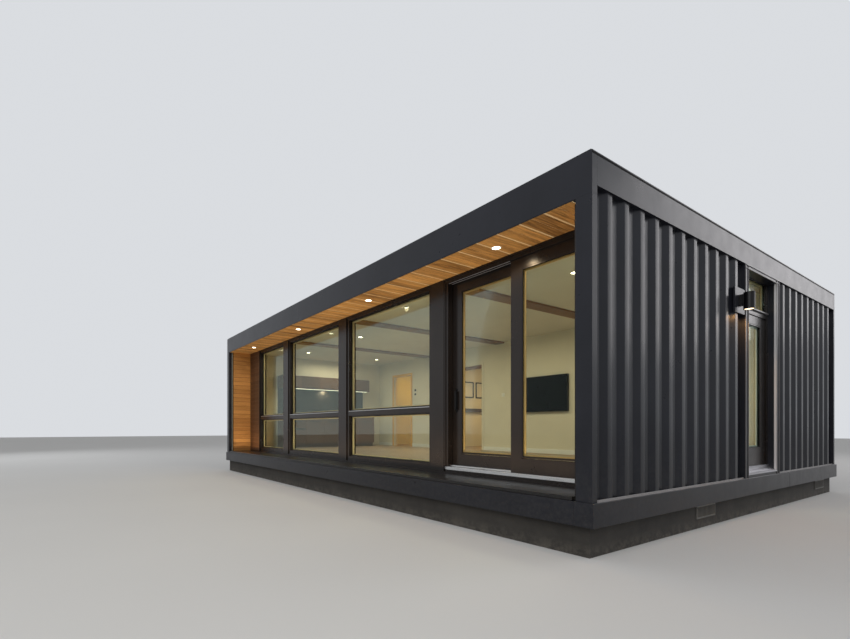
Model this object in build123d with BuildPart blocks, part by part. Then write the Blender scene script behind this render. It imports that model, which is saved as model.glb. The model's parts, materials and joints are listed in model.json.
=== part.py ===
"""Shipping container cabin: four steel modules side by side behind a recessed glass front.

Millimetres, +Z up. The origin is the middle of the plan at ground level, X runs along
the front and -Y is the front. Names that end in "_in" are set back from an outer face.
"""
import os

from build123d import *

# Overall form
module_width = 2438.0
module_count = 4
depth = 7315.0
roof_height = 3350.0
porch_depth = 560.0

# Foundation and base rails
foundation_height = 263.0
foundation_in = 50.0
foundation_thickness = 150.0
joint_footing_width = 200.0
rail_height = 203.0
rail_proud = 22.0
rail_in = 150.0
floor_pan_thickness = 30.0
vent_length = 475.0
vent_height = 140.0
vent_thickness = 12.0
vent_above_ground = 105.0
vent_places = (2058.0, 6385.0)
vent_frame = 16.0
vent_slat = 9.0
vent_slat_count = 13

# Fascias, posts and roof
front_fascia_height = 350.0
side_fascia_height = 276.0
side_fascia_thickness = 80.0
post_face = 145.0
post_depth = 75.0
joint_post_width = 240.0
cap_in = 22.0
cap_width = 58.0
cap_foot_width = 30.0
cap_gap = 10.0
cap_strip = 10.0
roof_below_top = 100.0
roof_wave_depth = 20.0
roof_flat = 70.0
roof_slope = 35.0
roof_sheet_thickness = 2.0
roof_rail_width = 120.0
roof_cover_width = 160.0
roof_cover_thickness = 3.0

# Walls: a corrugated steel sheet outside and an insulated lining behind it
sheet_in = 18.0
sheet_thickness = 2.0
wave_depth = 36.0
outer_flat = 72.0
inner_flat = 70.0
wave_slope = 68.0
wall_thickness = 180.0

# Floor, ceiling and porch
floor_thickness = 95.0
ceiling_thickness = 60.0
soffit_thickness = 25.0
header_height = 200.0
porch_plate_thickness = 34.0
cladding_thickness = 20.0
downlight_radius = 55.0
downlight_drop = 4.0
downlight_setback = 268.0

# Window wall
porch_post_width = 240.0
porch_post_proud = 20.0
frame_depth = 140.0
ledge_height = 54.0
frame_side = 60.0
frame_bottom = 80.0
frame_top = 70.0
transom_level = 1290.0
transom_height = 83.0
glass_thickness = 24.0
glass_in = 48.0
solid_bay_width = 662.0

# Sliding patio door in the right bay
threshold_height = 65.0
patio_head_height = 60.0
panel_stile = 140.0
panel_bottom = 165.0
panel_top = 120.0
panel_thickness = 45.0
panel_overlap = 115.0
meeting_shift = 20.0
panel_clearance = 5.0
panel_in = 25.0
track_gap = 15.0
track_width = 8.0
running_gap = 0.3
pull_length = 240.0
pull_width = 22.0
pull_reach = 34.0
pull_grip = 12.0
pull_level = 1430.0

# Side door in the right wall
door_start = 3400.0
door_opening = 1020.0
door_surround = 100.0
door_head_height = 52.0
door_recess = 105.0
door_clearance = 5.0
door_jamb = 48.0
door_thickness = 45.0
door_height = 1990.0
door_stop_width = 12.0
door_stop_thickness = 8.0
door_bar_height = 64.0
door_stile = 185.0
door_bottom_rail = 250.0
door_top_rail = 122.0
door_glass_thickness = 20.0
door_sill_drop = 45.0
hinge_radius = 7.0
hinge_height = 100.0
hinge_end_in = 200.0
hinge_plate = 3.0
hinge_plate_width = 32.0
lever_backset = 60.0
lever_level = 1000.0
lever_length = 120.0
lever_section = 20.0
lever_reach = 42.0
rose_radius = 26.0
rose_thickness = 8.0

# Wall lamp beside the side door
lamp_plate_size = 300.0
lamp_plate_thickness = 20.0
lamp_plate_gap = 18.0
lamp_below_head = 427.0
lamp_drop = 19.0
lamp_radius = 55.0
lamp_height = 200.0
lamp_reach = 88.0
lamp_wall = 3.0
lamp_arm_width = 70.0
lamp_arm_height = 130.0
lamp_lens_in = 12.0
lamp_lens_thickness = 6.0

# Rooms: partitions with open doorways, beams under the roof joints, kitchen and wall screen
partition_start = 4650.0
partition_thickness = 100.0
doorway_height = 2010.0
side_doorway = (746.0, 1546.0)
bed_doorway = (3256.0, 4166.0)
ceiling_beam_width = 240.0
ceiling_beam_depth = 30.0
kitchen_start = 1300.0
kitchen_length = 2730.0
base_unit_depth = 600.0
base_unit_height = 910.0
toe_space_height = 100.0
toe_space_depth = 60.0
worktop_thickness = 40.0
worktop_overhang = 20.0
wall_unit_level = 1580.0
wall_unit_height = 340.0
wall_unit_depth = 346.0
screen_width = 1300.0
screen_height = 730.0
screen_thickness = 60.0
screen_start = 5086.0
screen_level = 850.0

# Levels and planes worked out from the sizes above
right = module_width * module_count / 2
left = -right
back = depth / 2
front = -back
joints = [left + module_width * (i + 1) for i in range(module_count - 1)]
wall_bottom = foundation_height + rail_height
wall_top = roof_height - side_fascia_height
soffit_level = roof_height - front_fascia_height
floor_level = wall_bottom + floor_thickness
ledge_top = wall_bottom + ledge_height
inner_right = right - wall_thickness
inner_left = -inner_right
inner_back = back - wall_thickness
sheet_back_in = sheet_in + wave_depth + sheet_thickness
lining_face_x = right - sheet_back_in
lining_face_y = back - sheet_back_in
window_line = front + porch_depth
window_back = window_line + frame_depth
porch_back = window_line - porch_post_proud

os.makedirs("parts", exist_ok=True)


def block(x, y, z):
    """Add a block to the open part; x, y and z are its low and high limits."""
    limits = (x, y, z)
    with Locations(tuple((low + high) / 2 for low, high in limits)):
        Box(*(high - low for low, high in limits))


def around(centre, width):
    """Low and high limits of a width about its centre."""
    return centre - width / 2, centre + width / 2


def inwards(side, face, thickness):
    """Low and high limits of a thickness behind a face; side is 1 or -1."""
    return sorted((side * face, side * (face - thickness)))


def facing_front(y):
    """Plane seen from the front at depth y; a minus extrusion goes inwards from it."""
    return Plane.XZ.offset(-y)


def rectangle(across, up):
    """Add a sketch rectangle from its low and high limits."""
    with Locations((sum(across) / 2, sum(up) / 2)):
        Rectangle(across[1] - across[0], up[1] - up[0])


def cut_rectangle(across, up):
    """Cut a sketch rectangle from its low and high limits."""
    with Locations((sum(across) / 2, sum(up) / 2)):
        Rectangle(across[1] - across[0], up[1] - up[0], mode=Mode.SUBTRACT)


def edge_band(inset, width):
    """Add a band to a plan sketch that runs round the building, set in from its outline."""
    Rectangle(2 * (right - inset), 2 * (back - inset))
    Rectangle(2 * (right - inset - width), 2 * (back - inset - width), mode=Mode.SUBTRACT)


def wave_sheet(plane, span, flat, slope, low_flat, rise, thickness, height):
    """Add a corrugated sheet drawn on a plane, with a low flat at both of its ends."""
    pitch = flat + low_flat + 2 * slope
    count = int((span - low_flat) // pitch)
    margin = (span - count * pitch + low_flat) / 2
    wave = [(0.0, 0.0)]
    for i in range(count):
        start = margin + i * pitch
        wave.append((start, 0.0))
        wave.append((start + slope, rise))
        wave.append((start + slope + flat, rise))
        wave.append((start + 2 * slope + flat, 0.0))
    wave.append((span, 0.0))
    under_side = [(u, v - thickness) for u, v in reversed(wave)]
    with BuildSketch(plane) as profile:
        with BuildLine():
            Polyline(*wave, *under_side, close=True)
        make_face()
    extrude(profile.sketch, amount=height)


def wall_sheet(start, along, span):
    """Add an upright wall sheet; its waves rise to the left of its direction."""
    plane = Plane(origin=(*start, wall_bottom), x_dir=(*along, 0), z_dir=(0, 0, 1))
    height = wall_top - wall_bottom
    wave_sheet(plane, span, outer_flat, wave_slope, inner_flat, wave_depth, sheet_thickness, height)


def save(part, name):
    """Label a finished piece and write it as a node of its own."""
    part.label = name
    export_step(part, f"parts/{name}.step")


# Foundation: perimeter walls set back under the rails, and a cross wall under each joint
foundation_x = right - foundation_in
foundation_y = back - foundation_in
foundation_z = (0, foundation_height)
with BuildPart() as foundation_sides:
    for side in (-1, 1):
        x = inwards(side, foundation_x, foundation_thickness)
        block(x, (-foundation_y, foundation_y), foundation_z)
save(foundation_sides.part, "foundation_sides")

between_x = foundation_x - foundation_thickness
between_y = foundation_y - foundation_thickness
with BuildPart() as foundation_ends:
    for side in (-1, 1):
        y = inwards(side, foundation_y, foundation_thickness)
        block((-between_x, between_x), y, foundation_z)
save(foundation_ends.part, "foundation_ends")

pan_bottom = wall_bottom - floor_pan_thickness
with BuildPart() as foundation_joints:
    for x in joints:
        block(around(x, joint_footing_width), (-between_y, between_y), (0, pan_bottom))
save(foundation_joints.part, "foundation_joints")

# Vent grilles on the foundation: a frame with upright slats
vent_z = (vent_above_ground, vent_above_ground + vent_height)
slot_z = (vent_z[0] + vent_frame, vent_z[1] - vent_frame)
slot_pitch = (vent_length - 2 * vent_frame + vent_slat) / (vent_slat_count + 1)
with BuildPart() as foundation_vents:
    for side in (-1, 1):
        outer_x, inner_x = side * (foundation_x + vent_thickness), side * foundation_x
        with BuildSketch(Plane.YZ.offset(min(outer_x, inner_x))):
            for place in vent_places:
                rectangle((front + place, front + place + vent_length), vent_z)
                for i in range(vent_slat_count + 1):
                    slot = front + place + vent_frame + i * slot_pitch
                    cut_rectangle((slot, slot + slot_pitch - vent_slat), slot_z)
        extrude(amount=vent_thickness)
save(foundation_vents.part, "foundation_vents")

# Base rails: the heavy beams that show as a dark band under the corrugated walls
rail_z = (foundation_height, wall_bottom)
rail_width = rail_proud + rail_in
with BuildPart() as base_rail_sides:
    for side in (-1, 1):
        x = inwards(side, right + rail_proud, rail_width)
        block(x, (front - rail_proud, back + rail_proud), rail_z)
save(base_rail_sides.part, "base_rail_sides")

with BuildPart() as base_rail_ends:
    for side in (-1, 1):
        y = inwards(side, back + rail_proud, rail_width)
        block((left + rail_in, right - rail_in), y, rail_z)
save(base_rail_ends.part, "base_rail_ends")

# Floor frame: a steel pan that lies on the cross walls
with BuildPart() as floor_frame:
    block(
        (left + rail_in, right - rail_in),
        (front + rail_in, back - rail_in),
        (pan_bottom, wall_bottom),
    )
save(floor_frame.part, "floor_frame")

room_x = (inner_left, inner_right)
with BuildPart() as floor:
    block(room_x, (window_back, inner_back), (wall_bottom, floor_level))
save(floor.part, "floor")

porch_floor_top = wall_bottom + porch_plate_thickness
with BuildPart() as porch_floor:
    block(room_x, (front, porch_back), (wall_bottom, porch_floor_top))
save(porch_floor.part, "porch_floor")

with BuildPart() as window_ledge:
    block(room_x, (porch_back, window_back), (wall_bottom, ledge_top))
save(window_ledge.part, "window_ledge")

# Posts at the corners, at the back joints and between the window bays
with BuildPart() as corner_posts:
    for side in (-1, 1):
        block(inwards(side, right, post_face), (front, front + post_depth), (wall_bottom, soffit_level))
        block(inwards(side, right, post_face), (lining_face_y, back), (wall_bottom, wall_top))
save(corner_posts.part, "corner_posts")

with BuildPart() as back_joint_posts:
    for x in joints:
        block(around(x, joint_post_width), (lining_face_y, back), (wall_bottom, wall_top))
save(back_joint_posts.part, "back_joint_posts")

with BuildPart() as porch_posts:
    for x in joints:
        block(around(x, porch_post_width), (porch_back, window_back), (ledge_top, soffit_level))
save(porch_posts.part, "porch_posts")

# Fascias, and the thin metal cap that sits over them above a shadow gap
with BuildPart() as fascia_front:
    block((left, right), (front, front + post_depth), (soffit_level, roof_height))
save(fascia_front.part, "fascia_front")

with BuildPart() as fascia_back:
    block((left, right), (back - side_fascia_thickness, back), (wall_top, roof_height))
save(fascia_back.part, "fascia_back")

fascia_span = (front + post_depth, back - side_fascia_thickness)
with BuildPart() as fascia_sides:
    for side in (-1, 1):
        block(inwards(side, right, side_fascia_thickness), fascia_span, (wall_top, roof_height))
save(fascia_sides.part, "fascia_sides")

cap_foot_in = cap_in + (cap_width - cap_foot_width) / 2
with BuildPart() as roof_cap:
    with BuildSketch(Plane.XY.offset(roof_height)):
        edge_band(cap_foot_in, cap_foot_width)
    extrude(amount=cap_gap)
    with BuildSketch(Plane.XY.offset(roof_height + cap_gap)):
        edge_band(cap_in, cap_width)
    extrude(amount=cap_strip)
save(roof_cap.part, "roof_cap")

# Roof: a corrugated sheet over each module, between rails that meet at the joints
roof_level = roof_height - roof_below_top
header_top = soffit_level + header_height
with BuildPart() as roof_rails:
    for x in joints:
        block(around(x, roof_rail_width), fascia_span, (header_top, roof_level))
save(roof_rails.part, "roof_rails")

with BuildPart() as roof_covers:
    for x in joints:
        block(around(x, roof_cover_width), fascia_span, (roof_level, roof_level + roof_cover_thickness))
save(roof_covers.part, "roof_covers")

roof_edges = [left + side_fascia_thickness]
for x in joints:
    roof_edges += around(x, roof_rail_width)
roof_edges.append(right - side_fascia_thickness)
with BuildPart() as roof_panels:
    for start, end in zip(roof_edges[::2], roof_edges[1::2]):
        corner = (start, fascia_span[0], roof_level - roof_wave_depth)
        plane = Plane(origin=corner, x_dir=(0, 1, 0), z_dir=(1, 0, 0))
        span = fascia_span[1] - fascia_span[0]
        shape = (roof_flat, roof_slope, roof_flat, roof_wave_depth, roof_sheet_thickness)
        wave_sheet(plane, span, *shape, end - start)
save(roof_panels.part, "roof_panels")

# Front header over the windows, ceiling behind it and boarded soffit before it
with BuildPart() as front_header:
    block(room_x, (porch_back, window_back), (soffit_level, header_top))
save(front_header.part, "front_header")

with BuildPart() as ceiling:
    block(room_x, (window_back, inner_back), (soffit_level, soffit_level + ceiling_thickness))
save(ceiling.part, "ceiling")

with BuildPart() as soffit:
    block(room_x, (front + post_depth, porch_back), (soffit_level, soffit_level + soffit_thickness))
save(soffit.part, "soffit")

module_centres = [left + module_width * (i + 0.5) for i in range(module_count)]
with BuildPart() as soffit_downlights:
    with BuildSketch(Plane.XY.offset(soffit_level - downlight_drop)):
        with Locations(*[(x, front + downlight_setback) for x in module_centres]):
            Circle(downlight_radius)
    extrude(amount=downlight_drop)
save(soffit_downlights.part, "soffit_downlights")

# Partition across the building with two open doorways, and the wall between the back rooms
room_z = (floor_level, soffit_level)
doorway_z = (floor_level, floor_level + doorway_height)
partition_y = (front + partition_start, front + partition_start + partition_thickness)
with BuildPart() as partition_walls:
    with BuildSketch(facing_front(partition_y[0])):
        rectangle(room_x, room_z)
        for doorway in (side_doorway, bed_doorway):
            cut_rectangle([inner_left + edge for edge in doorway], doorway_z)
    extrude(amount=-partition_thickness)
    block(around(joints[0], partition_thickness), (partition_y[1], inner_back), room_z)
save(partition_walls.part, "partition_walls")

beam_z = (soffit_level - ceiling_beam_depth, soffit_level)
with BuildPart() as ceiling_beams:
    for x in joints:
        block(around(x, ceiling_beam_width), (window_back, partition_y[0]), beam_z)
save(ceiling_beams.part, "ceiling_beams")

# Kitchen along the left wall: base units under a worktop, and wall units over them
kitchen_front = front + kitchen_start
unit_face = inner_left + base_unit_depth
unit_top = floor_level + base_unit_height
wall_unit_z = (floor_level + wall_unit_level, floor_level + wall_unit_level + wall_unit_height)
with BuildPart() as kitchen_units:
    with BuildSketch(facing_front(kitchen_front)):
        rectangle((inner_left, unit_face - toe_space_depth), (floor_level, unit_top))
        rectangle((inner_left, unit_face), (floor_level + toe_space_height, unit_top))
        rectangle((inner_left, unit_face + worktop_overhang), (unit_top, unit_top + worktop_thickness))
        rectangle((inner_left, inner_left + wall_unit_depth), wall_unit_z)
    extrude(amount=-kitchen_length)
save(kitchen_units.part, "kitchen_units")

screen_x = (inner_left + screen_start, inner_left + screen_start + screen_width)
screen_z = (floor_level + screen_level, floor_level + screen_level + screen_height)
with BuildPart() as wall_screen:
    block(screen_x, (partition_y[0] - screen_thickness, partition_y[0]), screen_z)
save(wall_screen.part, "wall_screen")

# Corrugated walls: right wall in two lengths beside the door, left wall, back wall
door_low = front + door_start
door_high = door_low + door_opening
surround_low = door_low - door_surround
surround_high = door_high + door_surround
wave_x = right - sheet_in - wave_depth
wave_y = back - sheet_in - wave_depth
side_start = front + post_depth
side_end = lining_face_y
with BuildPart() as wall_right:
    wall_sheet((wave_x, surround_low), (0, -1), surround_low - side_start)
    wall_sheet((wave_x, side_end), (0, -1), side_end - surround_high)
save(wall_right.part, "wall_right")

with BuildPart() as wall_left:
    wall_sheet((-wave_x, side_start), (0, 1), side_end - side_start)
save(wall_left.part, "wall_left")

back_edges = [left + post_face]
for x in joints:
    back_edges += around(x, joint_post_width)
back_edges.append(right - post_face)
with BuildPart() as wall_back:
    for start, end in zip(back_edges[::2], back_edges[1::2]):
        wall_sheet((start, wave_y), (1, 0), end - start)
save(wall_back.part, "wall_back")

# Linings behind the sheets; the right one is split at the side door
lining_z = (wall_bottom, wall_top)
with BuildPart() as lining_left:
    block((-lining_face_x, inner_left), (side_start, inner_back), lining_z)
save(lining_left.part, "lining_left")

with BuildPart() as lining_right:
    block((inner_right, lining_face_x), (side_start, surround_low), lining_z)
    block((inner_right, lining_face_x), (surround_high, inner_back), lining_z)
save(lining_right.part, "lining_right")

with BuildPart() as lining_back:
    block((-lining_face_x, lining_face_x), (inner_back, lining_face_y), lining_z)
save(lining_back.part, "lining_back")

# Window bays, from the right: patio door, two full windows, a window beside a solid bay
half_post = porch_post_width / 2
patio_span = (joints[-1] + half_post, inner_right)
solid_bay = (inner_left, inner_left + solid_bay_width)
window_spans = [(low + half_post, high - half_post) for low, high in zip(joints, joints[1:])]
window_spans.append((solid_bay[1], joints[0] - half_post))
glass_low = ledge_top + frame_bottom
glass_high = soffit_level - frame_top
transom_top = transom_level + transom_height
with BuildPart() as window_frames:
    with BuildSketch(facing_front(window_line)):
        for low, high in window_spans:
            rectangle((low, high), (ledge_top, soffit_level))
            cut_rectangle((low + frame_side, high - frame_side), (glass_low, transom_level))
            cut_rectangle((low + frame_side, high - frame_side), (transom_top, glass_high))
    extrude(amount=-frame_depth)
save(window_frames.part, "window_frames")

with BuildPart() as solid_bay_wall:
    block(solid_bay, (window_line, window_back), (ledge_top, soffit_level))
save(solid_bay_wall.part, "solid_bay_wall")

# Timber cladding on the inner faces of both wings and over the solid bay
with BuildPart() as wing_cladding:
    for side in (-1, 1):
        block(
            inwards(side, inner_right, cladding_thickness),
            (side_start, porch_back),
            (porch_floor_top, soffit_level),
        )
save(wing_cladding.part, "wing_cladding")

with BuildPart() as solid_bay_cladding:
    block((inner_left, solid_bay[1]), (porch_back, window_line), (ledge_top, soffit_level))
save(solid_bay_cladding.part, "solid_bay_cladding")

# Patio door: a fixed panel on the right and a sliding one on the track behind it
threshold_top = ledge_top + threshold_height
patio_head = soffit_level - patio_head_height
panel_low = patio_span[0] + frame_side
panel_high = patio_span[1] - frame_side
panel_width = (panel_high - panel_low + panel_overlap) / 2
fixed_front = window_line + panel_in
sliding_front = fixed_front + panel_thickness + track_gap
with BuildPart() as patio_jambs:
    for low in (patio_span[0], panel_high):
        block((low, low + frame_side), (window_line, window_back), (threshold_top, patio_head))
save(patio_jambs.part, "patio_jambs")

rib_height = panel_clearance - running_gap
rib_y = around(sliding_front + panel_thickness / 2, track_width)
with BuildPart() as patio_head_rail:
    block(patio_span, (window_line, window_back), (patio_head, soffit_level))
    block((panel_low, panel_high), rib_y, (patio_head - rib_height, patio_head))
save(patio_head_rail.part, "patio_head_rail")

with BuildPart() as patio_threshold:
    block(patio_span, (window_line, window_back), (ledge_top, threshold_top))
    block((panel_low, panel_high), rib_y, (threshold_top, threshold_top + rib_height))
save(patio_threshold.part, "patio_threshold")

fixed_span = (panel_high - panel_width + meeting_shift, panel_high)
sliding_low = panel_low + panel_clearance
sliding_span = (sliding_low, sliding_low + panel_width + meeting_shift)
sliding_z = (threshold_top + panel_clearance, patio_head - panel_clearance)
panel_glass_z = (threshold_top + panel_bottom, patio_head - panel_top)
with BuildPart() as fixed_panel:
    with BuildSketch(facing_front(fixed_front)):
        rectangle(fixed_span, (threshold_top, patio_head))
        cut_rectangle((fixed_span[0] + panel_stile, fixed_span[1] - panel_stile), panel_glass_z)
    extrude(amount=-panel_thickness)
save(fixed_panel.part, "fixed_panel")

with BuildPart() as sliding_panel:
    with BuildSketch(facing_front(sliding_front)):
        rectangle(sliding_span, sliding_z)
        cut_rectangle((sliding_span[0] + panel_stile, sliding_span[1] - panel_stile), panel_glass_z)
    extrude(amount=-panel_thickness)
save(sliding_panel.part, "sliding_panel")

sliding_glass_y = around(sliding_front + panel_thickness / 2, glass_thickness)
with BuildPart() as sliding_panel_glass:
    block((sliding_span[0] + panel_stile, sliding_span[1] - panel_stile), sliding_glass_y, panel_glass_z)
save(sliding_panel_glass.part, "sliding_panel_glass")

# Panes that don't move: two in each window frame and one in the fixed patio panel
fixed_glass_y = around(fixed_front + panel_thickness / 2, glass_thickness)
with BuildPart() as window_glass:
    with BuildSketch(facing_front(window_line + glass_in)):
        for low, high in window_spans:
            rectangle((low + frame_side, high - frame_side), (glass_low, transom_level))
            rectangle((low + frame_side, high - frame_side), (transom_top, glass_high))
    extrude(amount=-glass_thickness)
    block((fixed_span[0] + panel_stile, fixed_span[1] - panel_stile), fixed_glass_y, panel_glass_z)
save(window_glass.part, "window_glass")

# Patio pulls: a C-shaped bar on each face of the sliding panel's outer stile
pull_x = around(sliding_span[0] + panel_stile / 2, pull_width)
with BuildPart() as patio_pulls:
    with BuildSketch(Plane.YZ.offset(pull_x[0])):
        for face, way in ((sliding_front, -1), (sliding_front + panel_thickness, 1)):
            tip = face + way * pull_reach
            grip = tip - way * pull_grip
            rectangle(sorted((face, tip)), around(pull_level, pull_length))
            cut_rectangle(sorted((face, grip)), around(pull_level, pull_length - 2 * pull_grip))
    extrude(amount=pull_width)
save(patio_pulls.part, "patio_pulls")

# Side door: steel surround flush with the rails, frame set back inside it, and the leaf
leaf_outer = right - door_recess
leaf_inner = leaf_outer - door_thickness
head_level = wall_top - door_head_height
leaf_low = door_low + door_jamb + door_clearance
leaf_high = door_high - door_jamb - door_clearance
leaf_bottom = floor_level + door_clearance
leaf_top = leaf_bottom + door_height
bar_low = leaf_top + door_clearance
bar_high = bar_low + door_bar_height
stop_face = leaf_outer + door_clearance
frame_outer = stop_face + door_stop_thickness
frame_y = (door_low + door_jamb, door_high - door_jamb)
with BuildPart() as side_door_surround:
    for y in ((surround_low, door_low), (door_high, surround_high)):
        block((inner_right, right), y, (wall_bottom, head_level))
save(side_door_surround.part, "side_door_surround")

with BuildPart() as side_door_head:
    block((inner_right, right), (surround_low, surround_high), (head_level, wall_top))
save(side_door_head.part, "side_door_head")

with BuildPart() as side_door_jambs:
    for y in ((door_low, frame_y[0]), (frame_y[1], door_high)):
        block((leaf_inner, frame_outer), y, (floor_level, head_level))
save(side_door_jambs.part, "side_door_jambs")

with BuildPart() as side_door_bar:
    block((leaf_inner, frame_outer), frame_y, (bar_low, bar_high))
save(side_door_bar.part, "side_door_bar")

with BuildPart() as side_door_stops:
    with BuildSketch(Plane.YZ.offset(stop_face)):
        rectangle(frame_y, (floor_level, bar_low))
        cut_rectangle(
            (frame_y[0] + door_stop_width, frame_y[1] - door_stop_width),
            (floor_level, bar_low - door_stop_width),
        )
    extrude(amount=door_stop_thickness)
save(side_door_stops.part, "side_door_stops")

leaf_middle = (leaf_outer + leaf_inner) / 2
with BuildPart() as side_door_transom:
    block(around(leaf_middle, door_glass_thickness), frame_y, (bar_high, head_level))
save(side_door_transom.part, "side_door_transom")

with BuildPart() as side_door_sill:
    with BuildSketch(facing_front(door_low)):
        with BuildLine():
            Polyline(
                (inner_right, wall_bottom),
                (right, wall_bottom),
                (right, floor_level - door_sill_drop),
                (frame_outer, floor_level),
                (inner_right, floor_level),
                close=True,
            )
        make_face()
    extrude(amount=-door_opening)
save(side_door_sill.part, "side_door_sill")

leaf_glass_y = (leaf_low + door_stile, leaf_high - door_stile)
leaf_glass_z = (leaf_bottom + door_bottom_rail, leaf_top - door_top_rail)
with BuildPart() as side_door_leaf:
    with BuildSketch(Plane.YZ.offset(leaf_inner)):
        rectangle((leaf_low, leaf_high), (leaf_bottom, leaf_top))
        cut_rectangle(leaf_glass_y, leaf_glass_z)
    extrude(amount=door_thickness)
save(side_door_leaf.part, "side_door_leaf")

with BuildPart() as side_door_glass:
    block(around(leaf_middle, door_glass_thickness), leaf_glass_y, leaf_glass_z)
save(side_door_glass.part, "side_door_glass")

# Hinges: knuckles on the room side of the back jamb, each with its plate on the leaf
hinge_x = leaf_inner - hinge_radius
hinge_y = leaf_high + door_clearance / 2
hinge_levels = (leaf_bottom + hinge_end_in, (leaf_bottom + leaf_top) / 2, leaf_top - hinge_end_in)
with BuildPart() as side_door_hinges:
    for level in hinge_levels:
        with BuildSketch(Plane.XY.offset(level - hinge_height / 2)):
            with Locations((hinge_x, hinge_y)):
                Circle(hinge_radius)
            rectangle((leaf_inner - hinge_plate, leaf_inner), (hinge_y - hinge_plate_width, hinge_y))
        extrude(amount=hinge_height)
save(side_door_hinges.part, "side_door_hinges")

# Lever handles: a round rose, a neck and a lever on each face of the leaf
lever_y = leaf_low + lever_backset
lever_z = leaf_bottom + lever_level
with BuildPart() as side_door_levers:
    for face, way in ((leaf_outer, 1), (leaf_inner, -1)):
        plane = Plane(origin=(face, lever_y, lever_z), x_dir=(0, 1, 0), z_dir=(way, 0, 0))
        with BuildSketch(plane):
            Circle(rose_radius)
        extrude(amount=rose_thickness)
        with BuildSketch(plane):
            Circle(lever_section / 2)
        extrude(amount=lever_reach)
        tip = face + way * lever_reach
        block(
            sorted((tip, tip - way * lever_section)),
            (lever_y - lever_section / 2, lever_y + lever_length),
            around(lever_z, lever_section),
        )
save(side_door_levers.part, "side_door_levers")

# Wall lamp: a plate on the corrugations, a short arm and a round shade open below
plate_outer = right - sheet_in + lamp_plate_thickness
plate_high = surround_low - lamp_plate_gap
lamp_level = head_level - lamp_below_head
lamp_y = plate_high - lamp_plate_size / 2
lamp_x = plate_outer + lamp_reach
with BuildPart() as lamp_plate:
    plate_z = around(lamp_level, lamp_plate_size)
    block((right - sheet_in, plate_outer), around(lamp_y, lamp_plate_size), plate_z)
save(lamp_plate.part, "lamp_plate")

lamp_bottom = lamp_level - lamp_drop - lamp_height / 2
with BuildPart() as wall_lamp:
    with BuildSketch(Plane.XY.offset(lamp_bottom)):
        with Locations((lamp_x, lamp_y)):
            Circle(lamp_radius)
    extrude(amount=lamp_height)
    arm_z = around(lamp_level, lamp_arm_height)
    block((plate_outer, lamp_x), around(lamp_y, lamp_arm_width), arm_z)
    with BuildSketch(Plane.XY.offset(lamp_bottom)):
        with Locations((lamp_x, lamp_y)):
            Circle(lamp_radius - lamp_wall)
    extrude(amount=lamp_lens_in, mode=Mode.SUBTRACT)
save(wall_lamp.part, "wall_lamp")

with BuildPart() as lamp_lens:
    with BuildSketch(Plane.XY.offset(lamp_bottom + lamp_lens_in - lamp_lens_thickness)):
        with Locations((lamp_x, lamp_y)):
            Circle(lamp_radius - lamp_wall)
    extrude(amount=lamp_lens_thickness)
save(lamp_lens.part, "lamp_lens")
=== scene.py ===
"""Looks of the shipping container cabin: finishes, boards, trims, lamps and light.

Metres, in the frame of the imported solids: X runs along the front, -Y is the front, +Z is up.
"""

import json
import math

import bmesh
import bpy
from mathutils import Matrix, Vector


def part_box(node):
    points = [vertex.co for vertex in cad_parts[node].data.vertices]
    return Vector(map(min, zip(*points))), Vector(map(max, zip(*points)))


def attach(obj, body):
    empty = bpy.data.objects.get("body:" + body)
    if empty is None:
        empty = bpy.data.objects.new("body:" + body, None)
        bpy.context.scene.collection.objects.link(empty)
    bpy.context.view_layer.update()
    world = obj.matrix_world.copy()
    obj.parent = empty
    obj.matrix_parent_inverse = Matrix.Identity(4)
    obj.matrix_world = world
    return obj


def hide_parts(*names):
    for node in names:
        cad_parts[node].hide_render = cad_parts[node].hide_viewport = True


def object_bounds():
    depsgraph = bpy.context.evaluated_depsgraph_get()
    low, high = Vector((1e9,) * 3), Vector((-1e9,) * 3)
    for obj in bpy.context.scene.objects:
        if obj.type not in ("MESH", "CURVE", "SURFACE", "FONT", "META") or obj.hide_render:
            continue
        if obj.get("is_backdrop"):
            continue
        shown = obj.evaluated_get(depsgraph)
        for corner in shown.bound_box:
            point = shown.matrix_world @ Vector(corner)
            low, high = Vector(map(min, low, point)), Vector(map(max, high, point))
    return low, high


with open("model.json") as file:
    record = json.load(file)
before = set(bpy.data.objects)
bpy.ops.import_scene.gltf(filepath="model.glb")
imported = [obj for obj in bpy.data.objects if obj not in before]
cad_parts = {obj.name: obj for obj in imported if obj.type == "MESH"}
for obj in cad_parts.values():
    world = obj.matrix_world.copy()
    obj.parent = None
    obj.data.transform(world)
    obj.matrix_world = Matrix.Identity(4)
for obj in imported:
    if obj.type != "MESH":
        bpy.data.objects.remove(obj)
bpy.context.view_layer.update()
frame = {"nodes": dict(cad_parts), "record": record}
scene = bpy.context.scene

# Camera, in the photograph's pixels where it says so
CAMERA_PLACE = (6.981, -7.260, 1.081)
CAMERA_TURN = math.radians(56.19)
IMAGE_WIDTH = 850
IMAGE_HEIGHT = 639
FOCAL_PIXELS = 462.2
MIDDLE_PIXEL = (367.8, 428.0)
SENSOR = 36.0

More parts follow.
